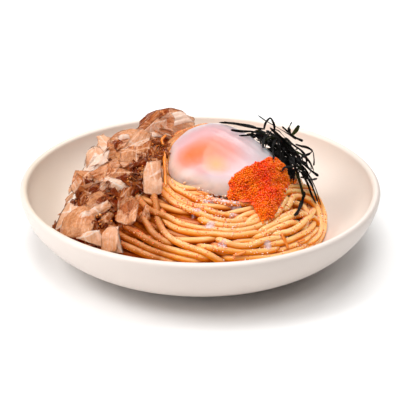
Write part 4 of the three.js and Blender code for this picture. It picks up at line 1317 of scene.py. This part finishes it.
# Loose shavings on the heap: place from the middle of its foot, the way the sheet faces (round, down from
# straight up), its corners in its own plane (level, up the slope), bow along and across, and look. Sides run
# a, b, c, d from the first corner.
LOOSE = [
    ((18, 41, 63), (-110, 55), [(-10, -10), (5, 9), (9, 7), (-4, -9)],
     (0.2, 0.5), dict(tint=(0.2, 0.35, 0.25, 0.3), outline="a")),  # rusty border of the big shaving
    ((23, 42, 61), (-95, 50), [(-12, -8), (-2, 6), (10, 8), (6, -7)],
     (0.3, 0.5), dict(tint=(0.75, 0.7, 0.95, 0.9))),  # pale sheet under it
    ((28, 49, 67), (-100, 40), [(-4, 0), (3, 3), (4, 1), (-1, -4)],
     (0.5, 0.9), dict(tint=(0.1, 0.05, 0.0, 0.1))),  # rusty crest
    ((39, 49, 64), (-70, 50), [(-6, 3), (0, 4), (8, -4), (-5, -5)],
     (0.4, 0.6), dict(tint=(1.2, 1.15, 1.0, 1.25), veil=0.1)),  # pink right wing
    ((15, 18, 62), (-95, 45), [(-11, -8), (0, 7), (7, 5), (5, -7)],
     (0.2, 0.3), dict(tint=(0.8, 0.7, 0.6, 0.6), ribs=0.16)),  # ribbed sheet
    ((12, 8, 57), (-100, 45), [(-7, -9), (-8, 2), (9, 9), (10, -7)],
     (0.5, 0.2), dict(tint=(0.6, 0.4, 0.3, 0.5), light="d")),  # broad sheet below it
    ((5, 30, 59), (-90, 50), [(-4, -3), (-3, 1), (3, 2), (5, -2)],
     (0.4, 0.9), dict(tint=(1.2, 1.2, 1.1, 0.8))),  # cream scrap
    ((1, 28, 56), (-100, 40), [(-4, 1), (-1, 3), (6, 0), (1, -5)],
     (0.6, 0.9), dict(tint=(-0.3, -0.1, 0.0, -0.2))),  # dark scrap
    ((-1, 30, 57), (-110, 45), [(-2, -3), (-3, 1), (3, 2), (3, -1)],
     (0.4, 0.7), dict(tint=(0.35, 0.5, 0.75, 0.3))),  # brown fold over it
    ((4, 25, 56), (-110, 45), [(-3, -4), (-2, 0), (5, 3), (3, -3)],
     (0.4, 0.7), dict(tint=(0.3, 0.15, 0.1, 0.4), outline="d")),  # cream scrap low
    ((-6, 31, 53), (-115, 50), [(-7, 4), (-4, 6), (13, -5), (-1, -6)],
     (0.3, 0.3), dict(tint=(0.7, 0.85, 0.75, 0.9), veil=0.2)),  # clear sheet behind
    ((-13, 21, 52), (-120, 50), [(-3, -8), (-7, 2), (-2, 5), (12, -2)],
     (0.3, 0.5), dict(tint=(0.95, 1.15, 1.15, 0.95), veil=0.15, outline="bc")),  # clear, with a dark edge
    ((-14, 16, 44), (-125, 50), [(-5, -6), (-5, 4), (6, 5), (7, -4)],
     (0.3, 0.4), dict(tint=(0.95, 1.1, 1.1, 0.9), outline="a")),  # left shoulder
    ((-17, 5, 43), (-120, 50), [(-6, -8), (-8, 3), (6, 6), (6, -3)],
     (0.3, 0.4), dict(tint=(0.3, 0.5, 0.55, 0.25))),  # patch below it
    ((-8, 14, 50), (-100, 40), [(-7, -6), (-4, 1), (5, 8), (5, -2)],
     (0.4, 0.4), dict(tint=(0.95, 1.15, 1.1, 0.95))),  # behind the clear sheet
    ((-3, 3, 49), (-125, 45), [(-10, -6), (2, 9), (9, 4), (2, -9)],
     (0.4, 0.4), dict(tint=(0.35, 0.55, 0.45, 0.4), ribs=0.1, outline="c")),  # front slope high
    ((5, -9, 51), (-105, 45), [(-9, -6), (-8, 5), (8, 4), (11, -6)],
     (0.4, 0.3), dict(tint=(0.4, 0.45, 0.35, 0.45))),  # front slope right
    ((0, -15, 48), (-105, 45), [(-9, -1), (-3, 6), (11, 0), (3, -8)],
     (0.5, 0.6), dict(tint=(0.75, 0.9, 0.95, 0.7))),  # front slope low
    ((-6, -13, 45), (-75, 40), [(-6, 1), (1, 4), (4, -2), (-3, -7)],
     (0.5, -0.4), dict(tint=(0.0, 0.05, 0.1, -0.1))),  # grey-brown hollow
    ((-13, -12, 42), (-110, 45), [(-5, -3), (0, 5), (4, 3), (2, -8)],
     (0.4, 0.7), dict(tint=(0.2, 0.35, 0.4, 0.25))),  # reddish left
    ((-7, -29.5, 42), (-120, 45), [(-5, -5), (5, 5), (10, 1), (0, -7)],
     (0.5, 0.9), dict(tint=(1.0, 0.8, 0.4, 0.6), light="c")),  # pale lip
    ((-7, -19, 42), (-80, 45), [(-8, -3), (-3, 1), (6, 3), (3, -4)],
     (0.5, 0.8), dict(tint=(0.0, 0.15, 0.2, 0.0))),  # behind the lip
    ((20, -37, 42), (-110, 50), [(-3, -6), (0, 5), (2, 4), (5, -4)],
     (0.2, 0.3), dict(tint=(0.35, 0.5, 0.35, 0.25), veil=0.45, outline="a")),  # triangle
    ((8, -36, 40), (-110, 50), [(-1, -8), (-3, 3), (2, 9), (6, -5)],
     (0.3, 0.3), dict(tint=(0.1, 0.2, 0.45, 0.25), veil=0.5, outline="a", light="c")),  # clear sheet in front
    ((13, -37, 42), (-90, 50), [(-2, -8), (-2, 5), (5, 9), (2, -7)],
     (0.3, 0.3), dict(tint=(0.4, 0.2, 0.6, 0.7), veil=0.4, light="b")),  # clear sheet beside it
    ((-22.5, -25, 32.3), (-115, 50), [(-9.5, -9), (-7, 9), (6, 7), (5, -10)],
     (0.3, 0.3), dict(tint=(0.7, 0.75, 0.8, 0.7), veil=0.1, outline="ad", ribs=0.02)),  # long low left
    ((-13, -35, 36.5), (-105, 50), [(-7, -7), (-3, 4), (3, 5), (9, -4)],
     (0.3, 0.3), dict(tint=(1.0, 0.9, 0.8, 0.9), light="a", ribs=0.02)),  # orange-pink low
    ((-11, -46, 31), (-105, 55), [(-7, -2), (-4, 1), (5, 5), (11, -5)],
     (0.3, 0.4), dict(tint=(0.65, 0.75, 0.8, 0.75), veil=0.1, light="b")),  # tan at the rim
    ((-2, -44, 29), (-80, 55), [(-1, -6), (-3, 5), (2, 6), (1, -7)],
     (0.3, 0.6), dict(tint=(0.2, 0.35, 0.3, 0.3))),  # orange strip
    ((2, -48, 31), (-110, 55), [(-1, -7), (-5, 5), (2, 8), (9, -7)],
     (0.3, 0.5), dict(tint=(0.6, 0.55, 0.85, 0.8), veil=0.15, outline="ac")),  # lilac at the rim
    ((-6, -30, 40), (-110, 50), [(-5, -3), (-2, 2), (6, 2), (3, -5)],
     (0.7, 0.9), dict(tint=(0.4, 0.3, 0.3, 0.4))),  # rust a
    ((-1, -36, 38), (-90, 50), [(-5, -3), (0, 4), (5, 3), (1, -5)],
     (0.7, 0.9), dict(tint=(0.4, 0.4, 0.2, 0.3))),  # rust b
    ((-20, -5, 44), (-120, 55), [(1, -7), (-3, -2), (-1, 6), (4, 2)],
     (0.4, 0.5), dict(tint=(0.55, 0.65, 0.65, 0.5), veil=0.4, outline="ab")),  # clear left edge
    ((25, -3, 58), (-90, 60), [(-2, -2), (-3, 1), (2, 1), (2, -2)],
     (0.2, 0.5), dict(tint=(0.2, 0.1, 0.1, 0.2))),  # peach chip
    ((24, 4, 58), (-60, 45), [(-5, -5), (-1, 5), (5, 5), (1, -6)],
     (0.6, 0.8), dict(tint=(0.05, 0.0, 0.05, 0.1))),  # shoulder by the sauce
    ((24, -14, 54), (-95, 50), [(-6, -10), (-4, 8), (4, 9), (7, -9)],
     (0.2, 0.5), dict(tint=(0.6, 0.75, 0.7, 0.55), outline="c", light="a", ribs=0.02)),  # over the big one
    ((9, -23, 47), (-95, 45), [(-4, -5), (-2, 3), (5, 4), (3, -4)],
     (0.6, 0.8), dict(tint=(0.3, 0.25, 0.1, 0.25))),  # between
    ((6, -31, 44), (-90, 55), [(-1, -6), (-1, 4), (2, 4), (2, -5)],
     (0.4, 0.9), dict(tint=(0.3, 0.1, 0.1, 0.6))),  # ribbon
    ((-8, 22, 50), (160, 55), [(-8, -4), (-6, 5), (6, 6), (8, -4)],
     (0.5, 0.5), dict(tint=(0.9, 1.1, 1.0, 0.8))),
    ((2, 40, 48), (110, 55), [(-9, -5), (-7, 5), (7, 6), (9, -4)],
     (0.4, 0.5), dict(tint=(0.7, 0.6, 0.8, 0.6))),
    ((-22, 8, 38), (175, 58), [(-8, -5), (-6, 5), (7, 5), (8, -4)],
     (0.5, 0.5), dict(tint=(0.55, 0.75, 0.75, 0.65))),
    ((15, 40, 50), (75, 50), [(-8, -4), (-7, 5), (6, 6), (8, -4)],
     (0.4, 0.6), dict(tint=(0.1, 0.2, 0.05, 0.0))),
    ((-23, -7, 35), (185, 60), [(-7, -5), (-6, 5), (7, 5), (7, -4)],
     (0.6, 0.4), dict(tint=(0.45, 0.65, 0.55, 0.35))),
    ((25, 26, 58), (40, 45), [(-7, -5), (-6, 5), (6, 4), (8, -5)],
     (0.6, 0.6), dict(tint=(0.3, 0.4, 0.5, 0.4))),
]


def loose_shaving(place, facing, corners, bows):
    """A sheet from its corners, bowed along and across, with three folds."""
    turn, tilt = math.radians(facing[0]), math.radians(facing[1])
    normal = np.array([math.sin(tilt) * math.cos(turn), math.sin(tilt) * math.sin(turn), math.cos(tilt)])
    level = unit(np.cross((0, 0, 1), normal))
    slope = np.cross(normal, level)
    c = np.array(corners, float)
    length = (np.linalg.norm(c[1] - c[0]) + np.linalg.norm(c[2] - c[3])) / 2
    width = (np.linalg.norm(c[3] - c[0]) + np.linalg.norm(c[2] - c[1])) / 2
    s, t = lines_across(length), lines_across(width)
    a, b = (s / length)[:, None, None], (t / width)[None, :, None]
    flat = corner_blend(c, a, b)
    a, b = a[..., 0] * 2 - 1, b[..., 0] * 2 - 1
    height = -bows[0] * a ** 2 * length * 0.12 - bows[1] * b ** 2 * width * 0.16
    folds = 0.0
    for _ in range(3):
        turn = rng.uniform(0, math.pi)
        line = a * length * math.cos(turn) / 2 + b * width * math.sin(turn) / 2
        line = line - rng.uniform(-0.3, 0.3) * width
        height = height + abs(line) * rng.normal(0, 0.16)
        folds = np.maximum(folds, np.exp(-(line / 0.4) ** 2))
    grid = np.asarray(place, float) + flat[..., :1] * level + flat[..., 1:] * slope
    return grid + height[..., None] * normal, s, t, folds


# How the large shavings look, by the number in their node's name: the tints at their corners, how clear they
# are (veil), how deep their fibres stand (ribs), and which sides are rusty.
FLAKE_LOOKS = {
    1: dict(tint=(0.05, 0.85, 0.75, 0.05), rust="ac"), 2: dict(tint=(0.45, 0.6, 0.6, 0.45), ribs=0.1),
    3: dict(tint=(0.7, 0.65, 0.75, 0.8), veil=0.05, ribs=0.03), 4: dict(tint=(0.8, 0.7, 0.8, 0.8), veil=0.25),
    5: dict(tint=(0.9, 0.7, 0.8, 0.8), veil=0.2), 6: dict(tint=(0.6, 0.6, 0.65, 0.5)),
    7: dict(tint=(0.2, 0.3, 0.3, 0.3), veil=0.2), 8: dict(tint=(0.4, 0.6, 0.6, 0.5)),
    9: dict(tint=(0.5, 0.6, 0.6, 0.6), veil=0.2), 10: dict(tint=(0.5, 0.55, 0.6, 0.5)),
    11: dict(tint=(0.6, 0.7, 0.8, 0.6), veil=0.1),
}
FAR_COUNT, RESTING_TRIES, SCRAP_TRIES, CRUMB_TRIES = 130, 700, 1000, 5000
# Where the shavings are soaked, by the egg and low on the front: x and y from the middle of the heap's foot,
# and how far it spreads.
SOAKED = [(27, 8, 6.5), (24, 18, 6), (29, -2, 5), (-3, -36, 7), (20, -22, 6), (-9, -16, 4), (16, -9, 5)]
# Tints to pick from, with their chances.
DRY_TINTS = [0.1, 0.3, 0.5, 0.7, 0.9, 1.1]
# the dark ones for bits soaked by the sauce, and for painted shade on bits in the gaps
SOAK_AND_SHADE_TINTS = [-0.15, -0.05, 0.05, 0.15, 0.0, 0.35]
BIT_CHANCES = [0.2, 0.25, 0.25, 0.15, 0.1, 0.05]
SCRAP_TINTS, SCRAP_CHANCES = [-0.05, 0.05, 0.18, 0.32, 0.65], [0.2, 0.3, 0.25, 0.17, 0.08]


def far_side(co, faces):
    """Places and directions for shavings round the back of the heap."""
    points, normals = on_surface(co, faces, FAR_COUNT * 3, -0.4)
    keep = normals @ unit(np.array([0.1, 0.95, 0.1])) > 0.45
    points, normals = points[keep][:FAR_COUNT], normals[keep][:FAR_COUNT]
    return zip(points + normals * rng.uniform(0.6, 2.6, len(points))[:, None], normals)


def resting_places(foot, co, faces, shavings):
    """Places on top of everything laid so far, with the way out and whether they take the dark tints: in the
    sauce by the egg as a stain, and in a bare gap on the core as painted shade.
    """
    tree = tree_of(*merged([(co, faces)] + [(np.concatenate(s.co), s.faces) for s in shavings]))
    found = []
    for start, normal in zip(*on_surface(co, faces, RESTING_TRIES, -0.1)):
        place, out, index = tree.ray_cast(Vector(start + normal * 26), Vector(-normal))[:3]
        if place is None:
            continue
        out = np.array(out) * (1 if np.dot(out, normal) > 0 else -1)
        place = np.array(place)
        x, y = place[:2] - foot[:2]
        # the heap is more broken in two patches
        broken = max(np.exp(-((x + 3) / 10) ** 2 - ((y + 13) / 12) ** 2),
                     np.exp(-((x - 9) / 7) ** 2 - ((y - 36) / 7) ** 2))
        # a bit in a bare gap, on the core, is darkened as painted shade
        bare = index < len(faces)
        if rng.random() > (0.8 if bare else 0.015 + 0.14 * broken):
            continue
        found.append((place, unit(out + 0.6 * normal), bare or np.hypot(x - 25, (y - 8) / 1.4) < 8))
    return found


def soaked_places(foot, co, faces, count, least):
    """Random places on the heap, thick where the shavings are soaked."""
    points, normals = on_surface(co, faces, count, -0.2)
    share = np.full(len(points), least)
    for x, y, spread in SOAKED:
        away = np.hypot(points[:, 0] - foot[0] - x, points[:, 1] - foot[1] - y)
        share = np.maximum(share, np.exp(-(away / spread) ** 2))
    keep = rng.random(len(points)) < share
    return points[keep] + normals[keep] * rng.uniform(-0.5, 1.8, keep.sum())[:, None]


def fragment(place, normal, scale=1.0):
    """A bit broken off a shaving, resting on what is under it."""
    a, b = rng.uniform(3.5, 9.0) * scale / 2, rng.uniform(1.5, 4.0) * scale / 2
    corners = np.array([(-a, -b), (a, -b), (a, b), (-a, b)]) + rng.normal(0, 0.6, (4, 2))
    turn = rng.uniform(0, FULL_TURN)
    corners = corners @ np.array([[math.cos(turn), math.sin(turn)], [-math.sin(turn), math.cos(turn)]])
    normal = unit(normal + rng.normal(0, 0.28, 3))
    round_it, down = math.atan2(normal[1], normal[0]), math.acos(np.clip(normal[2], -1, 1))
    facing = (math.degrees(round_it), math.degrees(down))
    return loose_shaving(place + normal * 0.35, facing, corners, rng.normal(0.2, 0.8, 2))


def scrap(place):
    """A crumpled bit of shaving a few millimetres long."""
    a, b = rng.uniform(2, 5.5) / 2, rng.uniform(1.2, 3.2) / 2
    corners = np.array([(-a, -b), (-a, b), (a, b), (a, -b)]) + rng.normal(0, 0.5, (4, 2))
    facing = (rng.uniform(-180, 180), rng.uniform(10, 80))
    return loose_shaving(place, facing, corners[[0, 3, 2, 1]], rng.normal(0, 1.2, 2))


def make_crumbs(foot, co, faces):
    """The finest broken bits, wet with sauce."""
    points = soaked_places(foot, co, faces, CRUMB_TRIES, 0.03)
    mesh, mesh_faces, owner = grains(points, rng.uniform(0.15, 0.45, len(points)), icosphere(1), 0.2, 0.75)
    p = Paint("soaked_crumbs")
    tint = p.attribute("tint")
    tone = p.mix(p.ramp(tint, 0.0, 0.7), (0.40, 0.05, 0.004), (0.84, 0.25, 0.03))
    tone = p.mix(p.ramp(tint, 0.7, 1.0), tone, (0.98, 0.50, 0.16))
    paint = p.finish(Base_Color=tone, Roughness=0.5, Specular_IOR_Level=0.25)
    tints = rng.random(len(points))
    make_piece("bonito_crumbs", mesh, mesh_faces, paint, "bonito", attributes={"tint": tints[owner]})


def make_bonito_core(co, faces):
    # painted shade: a dark red-brown skin under the shavings, seen in the gaps between them
    p = Paint("bonito_gap_shade")
    tone = p.mix(p.noise(250), (0.10, 0.006, 0.001), (0.26, 0.032, 0.004))
    dark = p.finish(Base_Color=tone, Roughness=0.8, Specular_IOR_Level=0.02,
                    Normal=p.bump(p.noise(400), 0.8, 0.001))
    _, normal = Skin(co, faces, 2.0, 6.0).at(co)
    make_piece("bonito_core", co - normal * 1.5, faces, dark, "bonito", ["bonito_heap"])


def make_bonito():
    material = bonito_material()
    co, faces = cad_mesh("bonito_heap")
    low, high = node_box("bonito_heap")
    foot = np.array([*((low + high) / 2)[:2], 0])
    flakes = {int(node.rsplit("_", 1)[1]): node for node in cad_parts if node.startswith("bonito_flake")}
    big, small, bits = Shavings(), Shavings(), Shavings()
    for number, node in sorted(flakes.items()):
        look = FLAKE_LOOKS[number]
        big.add(finished(shaving_from_node(node), fibre=look.get("ribs", 0.07)), look)
    big.build("bonito_large", material, list(flakes.values()))
    for place, facing, corners, bows, look in LOOSE:
        sheet = loose_shaving(foot + place, facing, corners, bows)
        small.add(finished(sheet, fibre=look.get("ribs", 0.07)), look)
    for place, normal in far_side(co, faces):
        small.add(finished(fragment(place, normal, 1.9)),
                  dict(tint=rng.uniform(0.25, 0.95) + rng.normal(0, 0.12, 4), veil=rng.uniform(0, 0.25)))
    for place, normal, soak_and_shade in resting_places(foot, co, faces, [big, small]):
        sheet = fragment(place, normal)
        shade = rng.choice(SOAK_AND_SHADE_TINTS if soak_and_shade else DRY_TINTS, p=BIT_CHANCES)
        sheet = finished(sheet, 0.5)
        look = dict(tint=shade + rng.normal(0, 0.12, 4), veil=rng.uniform(0.1, 0.5), line=0.35)
        bits.add(sheet, look, BIT, 0.3 if soak_and_shade else 1)
    for place in soaked_places(foot, co, faces, SCRAP_TRIES, 0.01):
        sheet = scrap(place)
        shade = rng.choice(SCRAP_TINTS, p=SCRAP_CHANCES)
        bits.add(finished(sheet, 0.3, 0.2, 0.2), dict(tint=(shade,) * 4, line=0.15), SHEET, 0.2)
    small.build("bonito_sheets", material)
    bits.build("bonito_bits", material)
    make_crumbs(foot, co, faces)
    make_bonito_core(co, faces)


# ---------------------------------------------------------------- camera, light and floor
CAMERA_UP = math.radians(25.616)      # the camera's height above the table, as an angle
CAMERA_ROLL = 0.006
CAMERA_DISTANCE, LENS, SENSOR = 0.7, 106.5, 36
AIM = Vector((0, 0, 0.02649))
# Soft round lamps: name, place and size in metres, watts.
LAMPS = [
    ("key", (-0.9, -0.25, 1.0), 0.7, 10.0), ("low_key", (-1.2, -0.4, 0.35), 0.6, 3.4),
    ("top", (0, 0.05, 1.4), 1.0, 13.2), ("back", (0.35, 0.9, 0.9), 0.6, 2.8),
    ("front", (0.5, -1.2, 0.6), 0.8, 0.3), ("high_front", (0, -0.8, 1.3), 0.7, 6.2),
    ("fill", (0.9, -0.1, 1.1), 0.6, 2.2),
]
LAMPS_AIM = Vector((0, 0, 0.03))
FLOOR = 4                     # half the floor's side, in metres


def placed(name, data):
    thing = bpy.data.objects.new(name, data)
    bpy.context.scene.collection.objects.link(thing)
    return thing


def make_camera():
    data = bpy.data.cameras.new("camera")
    data.sensor_width, data.lens = SENSOR, LENS
    camera = placed("camera", data)
    camera.location = AIM + Vector((0, -math.cos(CAMERA_UP), math.sin(CAMERA_UP))) * CAMERA_DISTANCE
    turn = Matrix.Rotation(math.pi / 2 - CAMERA_UP, 4, "X") @ Matrix.Rotation(CAMERA_ROLL, 4, "Z")
    camera.rotation_euler = turn.to_euler()
    bpy.context.scene.camera = camera


def make_lamp(name, place, size, watts):
    data = bpy.data.lights.new(name, "AREA")
    data.shape, data.size, data.energy = "DISK", size, watts
    lamp = placed(name, data)
    lamp.location = place
    lamp.rotation_euler = (LAMPS_AIM - Vector(place)).to_track_quat("-Z", "Y").to_euler()


def make_studio():
    scene = bpy.context.scene
    scene.view_settings.view_transform = "Standard"
    scene.world = bpy.data.worlds.new("studio")
    scene.world.use_nodes = True
    background = scene.world.node_tree.nodes["Background"]
    background.inputs[0].default_value = (1.0, 0.985, 0.97, 1)
    background.inputs[1].default_value = 0.06
    for lamp in LAMPS:
        make_lamp(*lamp)
    mesh = bpy.data.meshes.new("floor")
    corners = [(-FLOOR, -FLOOR, 0), (FLOOR, -FLOOR, 0), (FLOOR, FLOOR, 0), (-FLOOR, FLOOR, 0)]
    mesh.from_pydata(corners, [], [(0, 1, 2, 3)])
    p = Paint("pale_floor")
    tone = p.mix(p.noise(3, 2), (0.90, 0.895, 0.885), (0.93, 0.925, 0.92))
    mesh.materials.append(p.finish(Base_Color=tone, Roughness=0.8))
    placed("floor", mesh)


make_camera()
make_studio()
make_bowl()
outer_noodles = make_nest()
outline = make_egg()
make_roe()
make_seaweed()
make_bonito()
make_dressing(*outer_noodles, outline)
